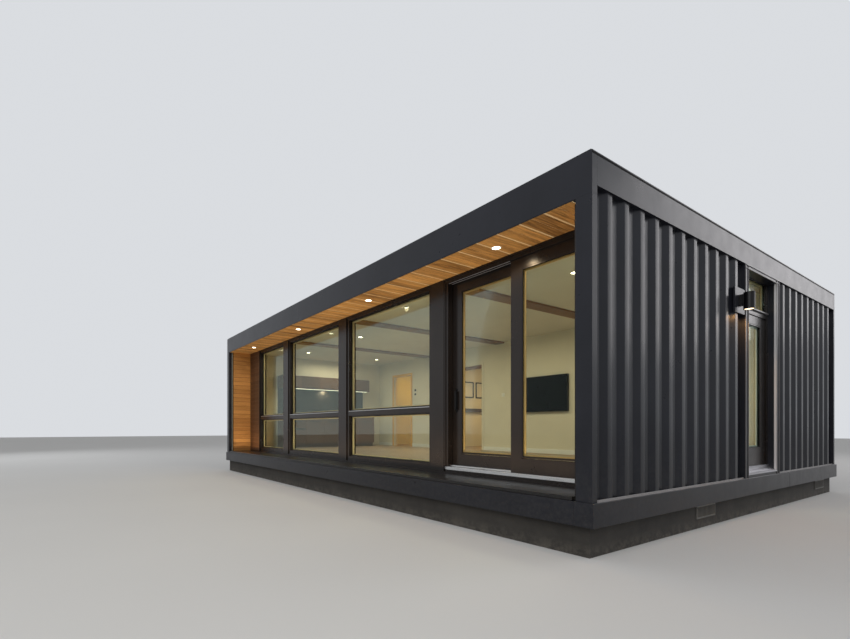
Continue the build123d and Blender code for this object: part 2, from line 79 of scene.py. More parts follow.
# Construction that repeats the solids' own sizes
MODULE = 2.438
POST_WIDTH = 0.240
ROOF_RAIL_WIDTH = 0.120
SHEET_FLAT = 0.072
SHEET_LOW_FLAT = 0.070
SHEET_SLOPE = 0.068
SHEET_DEPTH = 0.036
SHEET_THICKNESS = 0.002
ROOF_FLAT = 0.070
ROOF_SLOPE = 0.035
ROOF_DEPTH = 0.020
FOLD_RADIUS = 0.012
FRAME_SIDE = 0.060
FRAME_BOTTOM = 0.080
FRAME_TOP = 0.070
TRANSOM = (1.290, 1.373)
GLASS_IN = 0.048
GLASS_THICKNESS = 0.024
PANEL_STILE = 0.140
PANEL_BOTTOM = 0.165
PANEL_TOP = 0.120
DOOR_STILE = 0.185
DOOR_BOTTOM = 0.250
DOOR_TOP = 0.122
DOOR_GLASS = 0.020
CLADDING = 0.020
DOORWAY_TOP = 2.571
SIDE_DOORWAY = (-3.950, -3.150)
BED_DOORWAY = (-1.440, -0.530)
WORKTOP = 0.040

# Boards, laid along an axis at a width and with two gaps in turn; a lip shows in each gap,
# painted pale as a highlight under the soffit and dark as shade between the wall boards
SOFFIT_LAID = ("X", 0.134, (0.020, 0.003))
WALLS_LAID = ("Z", 0.104, (0.008, 0.008))
BOARD_DROP = 0.0035
FASCIA_EDGE = 0.010
LIP_BACK = 0.002
BOARD_EDGE = 0.002

# Trims and glazing beads
TRIM_EDGE = 0.0012
TRIM_LAP = 0.006
WING_TRIM = 0.022
BAY_TRIM = 0.012
BEAD = 0.016
INNER_BEAD = 0.034
BEAD_DEPTH = 0.020
PANEL_BEAD_DEPTH = 0.0085
TRANSOM_BEAD_DEPTH = 0.012
DOOR_BEAD_DEPTH = 0.0105
GASKET = 0.005
GASKET_DEPTH = 0.004

joints = [-MODULE, 0.0, MODULE]
module_centres = [MODULE * (i - 1.5) for i in range(4)]


# Short calls for meshes


def front(u, v, w):
    """A point from across, height and depth, seen from the front."""
    return u, w, v


def side(u, v, w):
    """A point from across, height and depth, seen from the right side."""
    return w, u, v


def flat(u, v, w):
    """A point from its place in plan and its height."""
    return u, v, w


def add_box(bm, low, high):
    """Add a box between two corners."""
    corners = bmesh.ops.create_cube(bm, size=1.0)["verts"]
    bmesh.ops.scale(bm, vec=[b - a for a, b in zip(low, high)], verts=corners)
    bmesh.ops.translate(bm, vec=[(a + b) / 2 for a, b in zip(low, high)], verts=corners)


def join_loops(bm, loops, closed=True):
    """Join neighbouring loops of points with four-sided faces."""
    following = loops[1:] + loops[:1] if closed else loops[1:]
    for a, b in zip(loops, following):
        for j in range(len(a)):
            k = (j + 1) % len(a)
            bm.faces.new((a[j], a[k], b[k], b[j]))


def add_ring(bm, place, low, high, width, depths):
    """Add a rectangular frame with mitred corners; width goes inwards from its outer corners."""
    loops = []
    for inset, depth in ((0, depths[0]), (0, depths[1]), (width, depths[1]), (width, depths[0])):
        u0, v0, u1, v1 = low[0] + inset, low[1] + inset, high[0] - inset, high[1] - inset
        corners = ((u0, v0), (u1, v0), (u1, v1), (u0, v1))
        loops.append([bm.verts.new(place(u, v, depth)) for u, v in corners])
    join_loops(bm, loops)


def add_lathe(bm, place, centre, profile, steps=40, closed=False):
    """Turn a profile of radius and depth about an axis; an open one gets end caps."""
    turns = [2 * math.pi * i / steps for i in range(steps)]
    rim = [(math.cos(a), math.sin(a)) for a in turns]
    loops = []
    for radius, depth in profile:
        points = [(centre[0] + radius * u, centre[1] + radius * v) for u, v in rim]
        loops.append([bm.verts.new(place(u, v, depth)) for u, v in points])
    join_loops(bm, loops, closed)
    if not closed:
        bm.faces.new(loops[0])
        bm.faces.new(loops[-1])


def add_prism(bm, place, outline, depths):
    """Push a closed outline from one depth to another."""
    loops = [[bm.verts.new(place(u, v, depth)) for u, v in outline] for depth in depths]
    join_loops(bm, loops, closed=False)
    for loop in loops:
        bm.faces.new(loop)


def mesh_object(name, bm, material):
    """Turn a built mesh into an object of the scene."""
    mesh = bpy.data.meshes.new(name)
    bm.to_mesh(mesh)
    bm.free()
    mesh.materials.append(material)
    made = bpy.data.objects.new(name, mesh)
    scene.collection.objects.link(made)
    return made


def piece(name, bm, material, slot, body="cabin", bevel=0.0, segments=2, node=None):
    """Turn a built mesh into a piece that rides on a body, and that may replace a node."""
    bmesh.ops.recalc_face_normals(bm, faces=bm.faces)
    made = mesh_object(name, bm, material)
    if bevel:
        soften(made, bevel, segments)
    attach(made, body)
    if node:
        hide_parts(node)


def boxes(name, spans, material, slot, body="cabin", bevel=TRIM_EDGE, **options):
    """Turn boxes, given by their spans along the three axes, into one piece."""
    bm = bmesh.new()
    for box in spans:
        add_box(bm, *zip(*box))
    piece(name, bm, material, slot, body, bevel, **options)


def turned(name, places, profile, material, slot, steps=40, closed=False, node=None):
    """Turn one profile about an upright axis at each place, as one piece."""
    bm = bmesh.new()
    for place in places:
        add_lathe(bm, flat, place, profile, steps, closed)
    piece(name, bm, material, slot, node=node)


def around(middle, width):
    """The span of a width about its middle."""
    return middle - width / 2, middle + width / 2


def out(face, depth):
    """The span from a face over a depth, which may be negative."""
    return tuple(sorted((face, face + depth)))


def soften(thing, width, segments=2):
    """Round the sharp edges of an object."""
    bevel = thing.modifiers.new("edges", "BEVEL")
    bevel.width = width
    bevel.segments = segments
    bevel.limit_method = "ANGLE"
    bevel.angle_limit = math.radians(35)
    bevel.harden_normals = True


def soften_node(name, width, segments=2):
    """Round the edges of a node, whose flat faces come in triangles with loose corners."""
    node = frame["nodes"][name]
    weld = node.modifiers.new("weld", "WELD")
    weld.merge_threshold = 0.00002
    flat_faces = node.modifiers.new("flat_faces", "DECIMATE")
    flat_faces.decimate_type = "DISSOLVE"
    flat_faces.angle_limit = math.radians(1)
    soften(node, width, segments)


def paint_node(name, material):
    """Give a solid's node its material."""
    node = frame["nodes"][name]
    if not node.material_slots:
        node.data.materials.append(material)
    for each in node.material_slots:
        each.material = material


# Short calls for materials


def shade(colour, share):
    """A darker or paler tone of a colour."""
    return tuple(min(1.0, value * share) for value in colour)


class Finish:
    """A Principled material, with short calls for the textures that feed it."""

    def __init__(self, name, roughness=0.5, **sockets):
        self.material = bpy.data.materials.new(name)
        self.material.use_nodes = True
        self.nodes = self.material.node_tree.nodes
        self.links = self.material.node_tree.links
        self.shader = self.nodes["Principled BSDF"]
        self.set(Roughness=roughness, **sockets)
        self.place = self.node("TexCoord").outputs["Object"]
        self.slopes = None

    def node(self, kind, sockets=None, **settings):
        made = self.nodes.new("ShaderNode" + kind)
        for key, value in settings.items():
            setattr(made, key, value)
        for key, value in (sockets or {}).items():
            self.feed(made.inputs[key], value)
        return made

    def feed(self, socket, value):
        if isinstance(value, bpy.types.NodeSocket):
            self.links.new(value, socket)
        elif isinstance(value, tuple) and len(value) == 3 and socket.type == "RGBA":
            socket.default_value = (*value, 1.0)
        else:
            socket.default_value = value

    def set(self, **sockets):
        for key, value in sockets.items():
            self.feed(self.shader.inputs[key.replace("_", " ")], value)

    def stretched(self, stretch, shift=None):
        """The place with its axes scaled, and moved by a value of each board's own."""
        made = self.node("Mapping", {"Vector": self.place, "Scale": stretch})
        if shift is None:
            return made.outputs["Vector"]
        moved = self.node("VectorMath", {0: made.outputs["Vector"], 1: shift}, operation="ADD")
        return moved.outputs["Vector"]

    def noise(self, scale, detail=3.0, rough=0.55, stretch=None, shift=None, twist=0.0):
        vector = self.stretched(stretch, shift) if stretch else self.place
        sockets = {"Vector": vector, "Scale": scale, "Detail": detail, "Roughness": rough}
        return self.node("TexNoise", {**sockets, "Distortion": twist}).outputs["Fac"]

    def island(self):
        """A value from 0 to 1 that differs from board to board."""
        return self.node("NewGeometry").outputs["Random Per Island"]

    def ramp(self, value, *stops):
        made = self.node("ValToRGB", {"Fac": value})
        points = made.color_ramp.elements
        while len(points) < len(stops):
            points.new(0.5)
        for point, (position, colour) in zip(points, stops):
            point.position = position
            point.color = (*colour, 1.0)
        return made.outputs["Color"]

    def blend(self, share, a, b):
        made = self.node("Mix", {0: share, 6: a, 7: b}, data_type="RGBA", clamp_factor=True)
        return made.outputs[2]

    def math(self, kind, a, b=0.0):
        return self.node("Math", {0: a, 1: b}, operation=kind).outputs[0]

    def range(self, value, low, high, to_low=0.0, to_high=1.0):
        sockets = {"Value": value, "From Min": low, "From Max": high}
        sockets |= {"To Min": to_low, "To Max": to_high}
        return self.node("MapRange", sockets, clamp=True).outputs[0]

    def height(self):
        """How high above the ground a point is."""
        return self.node("SeparateXYZ", {"Vector": self.place}).outputs["Z"]

    def bump(self, value, distance):
        """Add relief on top of what is there already."""
        sockets = {"Height": value, "Distance": distance}
        if self.slopes is not None:
            sockets["Normal"] = self.slopes
        self.slopes = self.node("Bump", sockets).outputs["Normal"]
        self.set(Normal=self.slopes)


def steel_paint(name, colour, roughness=0.3, dust=0.14, shine=0.35):
    """Semi-gloss paint on steel: orange peel, faint dents, soft streaks and dust low down."""
    made = Finish(name, Specular_IOR_Level=shine)
    patches = made.noise(1.3, 4.0, 0.6)
    streaks = made.noise(3.0, 4.0, 0.6, stretch=(6.0, 6.0, 0.25))
    deep = shade(colour, 0.8)
    tone = made.blend(made.range(patches, 0.3, 0.7), deep, shade(colour, 1.25))
    tone = made.blend(made.range(streaks, 0.35, 0.8, 0.0, 0.35), tone, deep)
    low_down = made.range(made.height(), 0.25, 1.0, 1.0, 0.0)
    specks = made.range(made.noise(22.0, 6.0, 0.7), 0.42, 0.75)
    settled = made.math("MULTIPLY", made.math("MULTIPLY", low_down, specks), dust)
    tone = made.blend(settled, tone, (0.16, 0.148, 0.13))
    made.set(Base_Color=tone)
    smear = made.range(made.noise(5.0, 5.0, 0.65), 0.3, 0.7, roughness - 0.03, roughness + 0.04)
    made.set(Roughness=made.math("ADD", smear, made.math("MULTIPLY", settled, 0.5)))
    made.bump(made.noise(2.2, 2.0), 0.0009)
    made.bump(made.noise(160.0, 2.0), 0.00002)
    return made.material


def wood(name, dark, light, along, contrast=1.0, roughness=0.55):
    """Boards with grain along one axis, rings, knots and a tone of their own."""
    made = Finish(name, Specular_IOR_Level=0.3)
    own = made.island()
    offset = made.math("MULTIPLY", own, 37.0)
    stretch = tuple(0.55 if axis == along else 9.0 for axis in "XYZ")
    grain = made.noise(3.2, 8.0, 0.62, stretch=stretch, shift=offset, twist=1.2)
    rings = made.noise(1.1, 3.0, 0.5, stretch=stretch, shift=offset, twist=2.6)
    fibre = made.noise(26.0, 4.0, 0.7, stretch=stretch, shift=offset)
    middle = tuple((a + b) / 2 for a, b in zip(dark, light))
    tone = made.ramp(own, (0.0, dark), (0.35, middle), (0.7, light), (1.0, middle))
    ringed = made.range(rings, 0.42, 0.6, 0.0, 0.42 * contrast)
    tone = made.blend(ringed, tone, dark)
    tone = made.blend(made.range(grain, 0.35, 0.68, 0.0, 0.5 * contrast), tone, light)
    fibres = made.range(fibre, 0.45, 0.7, 0.0, 0.3 * contrast)
    tone = made.blend(fibres, tone, shade(dark, 0.6))
    knot_stretch = tuple(value * 0.35 for value in stretch)
    spots = made.node("TexVoronoi", {"Vector": made.stretched(knot_stretch, offset), "Scale": 1.0})
    knots = made.range(spots.outputs["Distance"], 0.05, 0.11, 0.85, 0.0)
    tone = made.blend(knots, tone, shade(dark, 0.3))
    made.set(Base_Color=tone)
    made.set(Roughness=made.range(grain, 0.3, 0.7, roughness - 0.08, roughness + 0.1))
    made.bump(grain, 0.0008)
    made.bump(fibre, 0.0004)
    return made.material


def wall_paint(name, colour, roughness=0.75):
    """Matt room paint with a roller's fine stipple and faint unevenness."""
    made = Finish(name)
    patches = made.noise(0.8, 4.0, 0.6)
    deep = shade(colour, 0.9)
    made.set(Base_Color=made.blend(made.range(patches, 0.35, 0.65), deep, colour))
    uneven = made.noise(9.0, 3.0)
    made.set(Roughness=made.range(uneven, 0.3, 0.7, roughness - 0.05, roughness + 0.1))
    made.bump(made.noise(190.0, 3.0, 0.6), 0.0003)
    return made.material


def bare_metal(name, colour, along, roughness=0.3):
    """Bare metal with a fine grain along one axis."""
    made = Finish(name, Metallic=1.0)
    stretch = tuple(0.8 if axis == along else 60.0 for axis in "XYZ")
    grain = made.noise(4.0, 4.0, 0.6, stretch=stretch)
    deep = shade(colour, 0.8)
    made.set(Base_Color=made.blend(grain, deep, colour))
    made.set(Roughness=made.range(grain, 0.3, 0.7, roughness - 0.07, roughness + 0.12))
    made.bump(grain, 0.0001)
    return made.material


def concrete(name, colour):
    """Dark coated concrete: cloudy, pitted, splashed low down."""
    made = Finish(name)
    clouds = made.noise(2.5, 6.0, 0.65)
    deep = shade(colour, 0.6)
    tone = made.blend(made.range(clouds, 0.35, 0.65), deep, colour)
    splash = made.range(made.height(), 0.0, 0.12, 0.6, 0.0)
    splash = made.math("MULTIPLY", splash, made.range(made.noise(14.0, 5.0, 0.7), 0.4, 0.6))
    made.set(Base_Color=made.blend(splash, tone, (0.13, 0.115, 0.095)), Roughness=0.85)
    pits = made.node("TexVoronoi", {"Vector": made.place, "Scale": 60.0}).outputs["Distance"]
    made.bump(made.range(pits, 0.0, 0.25), 0.0015)
    made.bump(made.noise(35.0, 6.0, 0.7), 0.002)
    return made.material


def pane(name):
    """Clear sealed glass: a faint green tint, a mirror sheen that grows to grazing, and smears."""
    made = Finish(name)
    tree = made.material.node_tree
    through = made.node("BsdfTransparent", {"Color": (0.90, 0.965, 0.93)})
    smears = made.range(made.noise(2.0, 4.0, 0.6), 0.3, 0.7, 0.0, 0.04)
    mirror = made.node("BsdfGlossy", {"Color": (0.95, 1.0, 0.98), "Roughness": smears})
    slant = made.node("Fresnel", {"IOR": 1.45})
    share = made.math("MULTIPLY", slant.outputs[0], 0.15)
    mix = made.node("MixShader", {0: share, 1: through.outputs[0], 2: mirror.outputs[0]})
    tree.links.new(mix.outputs[0], tree.nodes["Material Output"].inputs["Surface"])
    tree.nodes.remove(made.shader)
    return made.material


def glow(name, colour, strength):
    """A lit lens: opal, a little uneven, and shining by itself."""
    made = Finish(name, roughness=0.4)
    uneven = made.noise(30.0, 2.0)
    tone = made.blend(uneven, shade(colour, 0.85), colour)
    made.set(Base_Color=tone, Emission_Color=tone, Emission_Strength=strength)
    return made.material


def courses_of(made, place, colours, length, width):
    """A staggered pattern of tiles or planks: two colours and that of the joint between them."""
    sockets = dict(zip(("Color1", "Color2", "Mortar"), colours))
    sockets |= {"Scale": 1.0, "Mortar Size": 0.0015, "Brick Width": length, "Row Height": width}
    return made.node("TexBrick", {"Vector": place, **sockets})


def tiles(name, colour, joint):
    """Small glossy wall tiles in courses."""
    made = Finish(name)
    turned = made.node("SeparateXYZ", {"Vector": made.place})
    across = made.node("CombineXYZ", {"X": turned.outputs["Y"], "Y": turned.outputs["Z"]})
    deep = shade(colour, 0.6)
    courses = courses_of(made, across.outputs[0], (colour, deep, joint), 0.15, 0.05)
    made.set(Base_Color=courses.outputs["Color"])
    made.set(Roughness=made.range(courses.outputs["Fac"], 0.0, 1.0, 0.45, 0.8))
    made.bump(made.math("SUBTRACT", 1.0, courses.outputs["Fac"]), 0.001)
    return made.material


def plank_floor(name, dark, light):
    """A satin plank floor: staggered planks along the building, each with its own tone."""
    made = Finish(name)
    greys = ((0.2, 0.2, 0.2), (0.8, 0.8, 0.8), (0.0, 0.0, 0.0))
    planks = courses_of(made, made.place, greys, 1.6, 0.18)
    own = made.node("SeparateColor", {"Color": planks.outputs["Color"]}).outputs[0]
    offset = made.math("MULTIPLY", own, 19.0)
    grain = made.noise(2.4, 7.0, 0.62, stretch=(0.8, 11.0, 1.0), shift=offset, twist=1.0)
    tone = made.ramp(own, (0.0, dark), (0.6, light))
    veins = made.range(grain, 0.38, 0.66, 0.0, 0.55)
    tone = made.blend(veins, tone, shade(dark, 0.7))
    tone = made.blend(planks.outputs["Fac"], tone, (0.05, 0.035, 0.025))
    made.set(Base_Color=tone, Roughness=made.range(grain, 0.3, 0.7, 0.32, 0.48))
    made.bump(made.math("SUBTRACT", 1.0, planks.outputs["Fac"]), 0.001)
    made.bump(grain, 0.0004)
    return made.material


charcoal = steel_paint("charcoal_steel", (0.0135, 0.0145, 0.0200), shine=0.26)
frame_paint = steel_paint("dark_bronze", (0.0140, 0.0110, 0.0098), 0.24, dust=0.05)
black_paint = steel_paint("black_metal", (0.004, 0.004, 0.0045), 0.34, dust=0.0, shine=0.25)
porch_plate = steel_paint("porch_plate", (0.012, 0.0115, 0.012), 0.3, dust=0.06, shine=0.3)
# painted highlight: a lighter steel for the beads on the side door's opening edges
edge_highlight_steel = steel_paint("edge_highlight_steel", (0.10, 0.095, 0.098), 0.3, dust=0.1)
vent_paint = steel_paint("vent_metal", (0.13, 0.125, 0.115), 0.45, dust=0.3)
roof_paint = steel_paint("roof_steel", (0.07, 0.074, 0.078), 0.42, dust=0.0)
aluminium = bare_metal("pale_metal", (0.86, 0.86, 0.85), "X")
# painted highlight: bright metal for the line along the windows' transoms
transom_highlight_metal = bare_metal("transom_highlight_metal", (0.80, 0.80, 0.79), "Z")
sill_metal = bare_metal("sill_metal", (0.50, 0.50, 0.53), "Y", roughness=0.4)
# painted highlight: a pale matt strip down the side door's reveal
strip_highlight_paint = wall_paint("strip_highlight_paint", (0.62, 0.61, 0.63), 0.35)
# pale grey for the head track, and as a painted highlight on the base rail's flashing
track_and_highlight_paint = wall_paint("track_and_highlight_paint", (0.32, 0.31, 0.315), 0.4)
foundation = concrete("foundation", (0.042, 0.038, 0.033))
# the soffit's cedar: grain and tones of its own, made paler than the wings' cedar as painted light
# from below
cedar_soffit_painted_light = wood("cedar_soffit_painted_light", (0.085, 0.031, 0.008), (0.82, 0.45, 0.15), "Y", 1.5)
cedar_wing = wood("cedar_wing", (0.24, 0.10, 0.026), (0.56, 0.285, 0.085), "Y", 1.3)
# painted shade: the bay's boards are a darker copy of the wings' cedar, for a face that looks to
# the front out of the light
cedar_bay_shaded = wood("cedar_bay_shaded", (0.055, 0.024, 0.011), (0.105, 0.050, 0.023), "X")
# painted highlight: pale cedar for the lips that show between the soffit's boards
cedar_lip_highlight = wood("cedar_lip_highlight", (0.80, 0.56, 0.28), (0.97, 0.80, 0.52), "Y", 0.5)
# painted shade: dark cedar for the lips that show in the gaps between the wall boards
cedar_groove_shade = wood("cedar_groove_shade", (0.10, 0.045, 0.014), (0.16, 0.075, 0.026), "Y", 0.4)
beam_wood = wood("beam_wood", (0.13, 0.055, 0.024), (0.25, 0.12, 0.055), "Y", 0.7, roughness=0.45)
dark_wood = wood("dark_wood", (0.045, 0.022, 0.012), (0.10, 0.052, 0.027), "Y", 0.7, roughness=0.4)
unit_wood = wood("unit_wood", (0.085, 0.04, 0.017), (0.16, 0.08, 0.036), "Y", 0.6, roughness=0.5)
door_wood = wood("door_wood", (0.45, 0.20, 0.06), (0.70, 0.40, 0.15), "Z", 0.5, roughness=0.4)
amber_wood = wood("amber_wood", (0.60, 0.31, 0.06), (0.86, 0.52, 0.14), "Z", 0.4, roughness=0.4)
bead_pine = wood("bead_pine", (0.55, 0.38, 0.20), (0.78, 0.60, 0.38), "Z", 0.4, roughness=0.4)
bead_tan = wood("bead_tan", (0.52, 0.27, 0.10), (0.76, 0.45, 0.20), "Z", 0.4, roughness=0.4)
floor_finish = plank_floor("floor_boards", (0.22, 0.14, 0.08), (0.40, 0.28, 0.17))
room_paint = wall_paint("room_lining", (0.70, 0.64, 0.51))
ceiling_paint = wall_paint("ceiling_paint", (0.72, 0.70, 0.64))
trim_paint = wall_paint("trim_paint", (0.78, 0.76, 0.71), 0.4)
picture_paper = wall_paint("picture_paper", (0.66, 0.62, 0.54), 0.85)
screen_finish = steel_paint("screen", (0.002, 0.002, 0.0025), 0.25, dust=0.0, shine=0.1)
worktop_stone = concrete("worktop_stone", (0.10, 0.095, 0.09))
window_glass = pane("glass")
lamp_glow = glow("lamp_lens", (1.0, 0.84, 0.60), 12.0)
wall_lamp_glow = glow("wall_lamp_glow", (1.0, 0.76, 0.48), 3.0)
strip_glow = glow("strip_glow", (1.0, 0.88, 0.66), 2.4)
# black rubber for the gaskets, and painted shade in the dark lines
rubber_and_shade_black = steel_paint("rubber_and_shade_black", (0.004, 0.004, 0.004), 0.6, dust=0.0, shine=0.06)
backsplash = tiles("backsplash", (0.035, 0.026, 0.019), (0.06, 0.05, 0.042))

slot_looks = dict(
    charcoal_steel=charcoal, foundation=foundation, vent_metal=vent_paint, cedar=cedar_soffit_painted_light,
    porch_plate=porch_plate, floor_boards=floor_finish, room_lining=room_paint,
    dark_bronze=frame_paint, pale_metal=aluminium, glass=window_glass, black_metal=black_paint,
    lamp_lens=lamp_glow, roof_steel=roof_paint, dark_wood=dark_wood, screen=screen_finish,
)
for part in frame["record"]["subparts"]:
    paint_node(part["node"], slot_looks[part["material_slot"]])
paint_node("ceiling", ceiling_paint)
paint_node("ceiling_beams", beam_wood)
paint_node("roof_cap", black_paint)

# Paints that many pieces take, with their slots
STEEL = (charcoal, "charcoal_steel")
BRONZE = (frame_paint, "dark_bronze")
BLACK = (black_paint, "black_metal")

# Softened edges on the solids' own nodes
for name in (
    "foundation_sides", "foundation_ends", "base_rail_sides", "base_rail_ends", "back_joint_posts",
    "porch_posts", "front_header", "side_door_surround", "side_door_head", "porch_floor",
):
    soften_node(name, 0.003, 3)
for name in ("corner_posts", "fascia_front", "fascia_back", "fascia_sides", "roof_cap"):
    soften_node(name, 0.001)
for name in (
    "window_ledge", "window_frames", "patio_jambs", "patio_head_rail", "patio_threshold",
    "fixed_panel", "sliding_panel", "side_door_jambs", "side_door_bar", "side_door_sill",
    "side_door_leaf", "lamp_plate", "patio_pulls", "side_door_levers", "ceiling_beams",
):
    soften_node(name, 0.002)


# Corrugated sheets


def sheet_profile(span, flat_width, slope, low_flat, depth):
    """Points of a sheet with rounded folds, as distance along it and height of its wave."""
    pitch = flat_width + low_flat + 2 * slope
    count = int((span - low_flat) // pitch)
    margin = (span - count * pitch + low_flat) / 2
    corners = []
    for i in range(count):
        start = margin + i * pitch
        corners += [(start, 0.0), (start + slope, depth)]
        corners += [(start + slope + flat_width, depth), (start + 2 * slope + flat_width, 0.0)]
    tangent = FOLD_RADIUS * math.tan(math.atan2(depth, slope) / 2)
    points = [(0.0, 0.0)]
    ends = [(0.0, 0.0), *corners, (span, 0.0)]
    for before, corner, after in zip(ends, ends[1:], ends[2:]):
        for share in (-1.0, -0.4, 0.4, 1.0):
            other = before if share < 0 else after
            length = math.dist(corner, other)
            reach = abs(share) * tangent / length
            lift = (1 - abs(share)) * tangent * (-0.125 if corner[1] > 0 else 0.125)
            points.append((
                corner[0] + (other[0] - corner[0]) * reach,
                corner[1] + (other[1] - corner[1]) * reach + lift,
            ))
    points.append((span, 0.0))
    return points


def add_sheet(bm, origin, along, rise, up, profile):
    """Add a folded sheet from its profile; along, rise and up are its three directions."""
    lower = [
        bm.verts.new([o + u * a + v * r for o, a, r in zip(origin, along, rise)])
        for u, v in profile
    ]
    upper = [bm.verts.new([c + d for c, d in zip(vert.co, up)]) for vert in lower]
    for i in range(len(profile) - 1):
        bm.faces.new((lower[i], lower[i + 1], upper[i + 1], upper[i]))


def sheet_piece(name, node, material, slot, stretches, outward):
    """Stand sheets for a node; a stretch has its origin, along, rise, up and profile."""
    bm = bmesh.new()
    for stretch in stretches:
        add_sheet(bm, *stretch)
    made = mesh_object(name, bm, material)
    made.data.shade_smooth()
    thick = made.modifiers.new("thickness", "SOLIDIFY")
    thick.thickness = SHEET_THICKNESS
    thick.offset = outward
    sharp = made.modifiers.new("sharp_ends", "EDGE_SPLIT")
    sharp.split_angle = math.radians(50)
    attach(made, "cabin")
    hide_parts(node)


def wall_profile(span):
    """Points of a wall's sheet over a span."""
    return sheet_profile(span, SHEET_FLAT, SHEET_SLOPE, SHEET_LOW_FLAT, SHEET_DEPTH)


def bays(start, end, width):
    """The spans between the module joints, where posts or rails of a width stand."""
    edges = [start]
    for x in joints:
        edges += around(x, width)
    edges.append(end)
    return list(zip(edges[::2], edges[1::2]))


ALONG_X, ALONG_Y, ALONG_Z = (1, 0, 0), (0, 1, 0), (0, 0, 1)
wall_low, wall_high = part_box("wall_right")
left_low, left_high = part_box("wall_left")
back_low, back_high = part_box("wall_back")
roof_low, roof_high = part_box("roof_panels")
surround_low, surround_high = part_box("side_door_surround")
wall_up = (0, 0, wall_high.z - wall_low.z)
beside_door = ((wall_low.y, surround_low.y), (surround_high.y, wall_high.y))
right_x = wall_high.x - SHEET_DEPTH
right_stretches = [
    ((right_x, start, wall_low.z), ALONG_Y, ALONG_X, wall_up, wall_profile(end - start))
    for start, end in beside_door
]
left_origin = (left_low.x + SHEET_DEPTH, left_low.y, left_low.z)
left_profile = wall_profile(left_high.y - left_low.y)
left_stretches = [(left_origin, ALONG_Y, (-1, 0, 0), wall_up, left_profile)]
back_y = back_high.y - SHEET_DEPTH
back_stretches = [
    ((start, back_y, back_low.z), ALONG_X, ALONG_Y, wall_up, wall_profile(end - start))
    for start, end in bays(back_low.x, back_high.x, POST_WIDTH)
]
roof_z = roof_high.z - ROOF_DEPTH
roof_span = roof_high.y - roof_low.y
roof_profile = sheet_profile(roof_span, ROOF_FLAT, ROOF_SLOPE, ROOF_FLAT, ROOF_DEPTH)
roof_stretches = [
    ((start, roof_low.y, roof_z), ALONG_Y, ALONG_Z, (end - start, 0, 0), roof_profile)
    for start, end in bays(roof_low.x, roof_high.x, ROOF_RAIL_WIDTH)
]
sheet_piece("right_sheets", "wall_right", *STEEL, right_stretches, 1)
sheet_piece("left_sheet", "wall_left", *STEEL, left_stretches, -1)
sheet_piece("back_sheets", "wall_back", *STEEL, back_stretches, -1)
sheet_piece("roof_sheets", "roof_panels", roof_paint, "roof_steel", roof_stretches, -1)


# Boards


def add_boards(bm, low, high, across, width, gaps):
    """Fill a box with boards side by side along the axis called across, with two gaps in turn."""
    axis = "XYZ".index(across)
    span = high[axis] - low[axis]
    count = max(1, round(span / width))
    pitch = span / count
    for i in range(count):
        a, b = list(low), list(high)
        a[axis] = low[axis] + i * pitch + gaps[i % 2] / 2
        b[axis] = low[axis] + (i + 1) * pitch - gaps[(i + 1) % 2] / 2
        add_box(bm, a, b)


def set_back(low, high, face):
    """The corners of a box whose face, such as -Z for its underside, lies further back."""
    axis = "XYZ".index(face[1])
    low, high = list(low), list(high)
    if face[0] == "-":
        low[axis] += LIP_BACK
    else:
        high[axis] -= LIP_BACK
    return low, high


# The soffit's boards run out under the fascia, and the wings' stop at an upright trim
soffit_low, soffit_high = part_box("soffit")
fascia_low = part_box("fascia_front")[0]
soffit_start = (soffit_low.x, fascia_low.y + FASCIA_EDGE, soffit_low.z - BOARD_DROP)
bay_low, bay_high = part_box("solid_bay_cladding")
wing_low, wing_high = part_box("wing_cladding")
wing_start = wing_low.y + WING_TRIM
wings = [
    ((x, wing_start, wing_low.z), (x + CLADDING, wing_high.y, wing_high.z), face)
    for x, face in ((wing_low.x, "+X"), (wing_high.x - CLADDING, "-X"))
]
soffit_areas = [(soffit_start, soffit_high, "-Z")]
bay_areas = [(bay_low, bay_high, "-Y")]
# The lips behind each set of boards are painted light: pale highlights under the soffit, dark
# shade between the wall boards
for name, node, material, lip_painted_light, areas, laid in (
    ("soffit", "soffit", cedar_soffit_painted_light, cedar_lip_highlight, soffit_areas, SOFFIT_LAID),
    ("bay", "solid_bay_cladding", cedar_bay_shaded, cedar_groove_shade, bay_areas, WALLS_LAID),
    ("wing", "wing_cladding", cedar_wing, cedar_groove_shade, wings, WALLS_LAID),
):
    boards, painted_lip_boxes = bmesh.new(), bmesh.new()
    for low, high, face in areas:
        add_boards(boards, low, high, *laid)
        add_box(painted_lip_boxes, *set_back(low, high, face))
    piece(name + "_boards", boards, material, "cedar", bevel=BOARD_EDGE, node=node)
    piece(name + "_painted_lip_light", painted_lip_boxes, lip_painted_light, "cedar")
boxes("cladding_trims", [
    *(((low[0], high[0]), (wing_low.y, wing_start), (low[2], high[2])) for low, high, _ in wings),
    ((bay_high.x - TRIM_LAP, bay_high.x + BAY_TRIM), (bay_low.y - TRIM_LAP, bay_high.y),
     (bay_low.z, bay_high.z)),
], *BRONZE)

# A flashing on the base rail and up the foot of the sheets, on the three corrugated sides, painted
# pale as a highlight along the rail's top edge
FLASHING_DEPTH = 0.024
FLASHING_SHEET = 0.003
rail_low, rail_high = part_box("base_rail_sides")
flashing_z = (rail_high.z - 0.008, rail_high.z + 0.002)
upstand_z = (rail_high.z, rail_high.z + 0.017)
side_y = (wall_low.y, wall_high.y)
back_x = (back_low.x, back_high.x)
boxes("rail_flashing_highlight", [
    (out(wall_high.x, FLASHING_DEPTH), side_y, flashing_z),
    (out(left_low.x, -FLASHING_DEPTH), side_y, flashing_z),
    (back_x, out(back_high.y, FLASHING_DEPTH), flashing_z),
    *((out(wall_high.x, FLASHING_SHEET), y, upstand_z) for y in beside_door),
    (out(left_low.x, -FLASHING_SHEET), side_y, upstand_z),
    (back_x, out(back_high.y, FLASHING_SHEET), upstand_z),
], track_and_highlight_paint, "charcoal_steel")

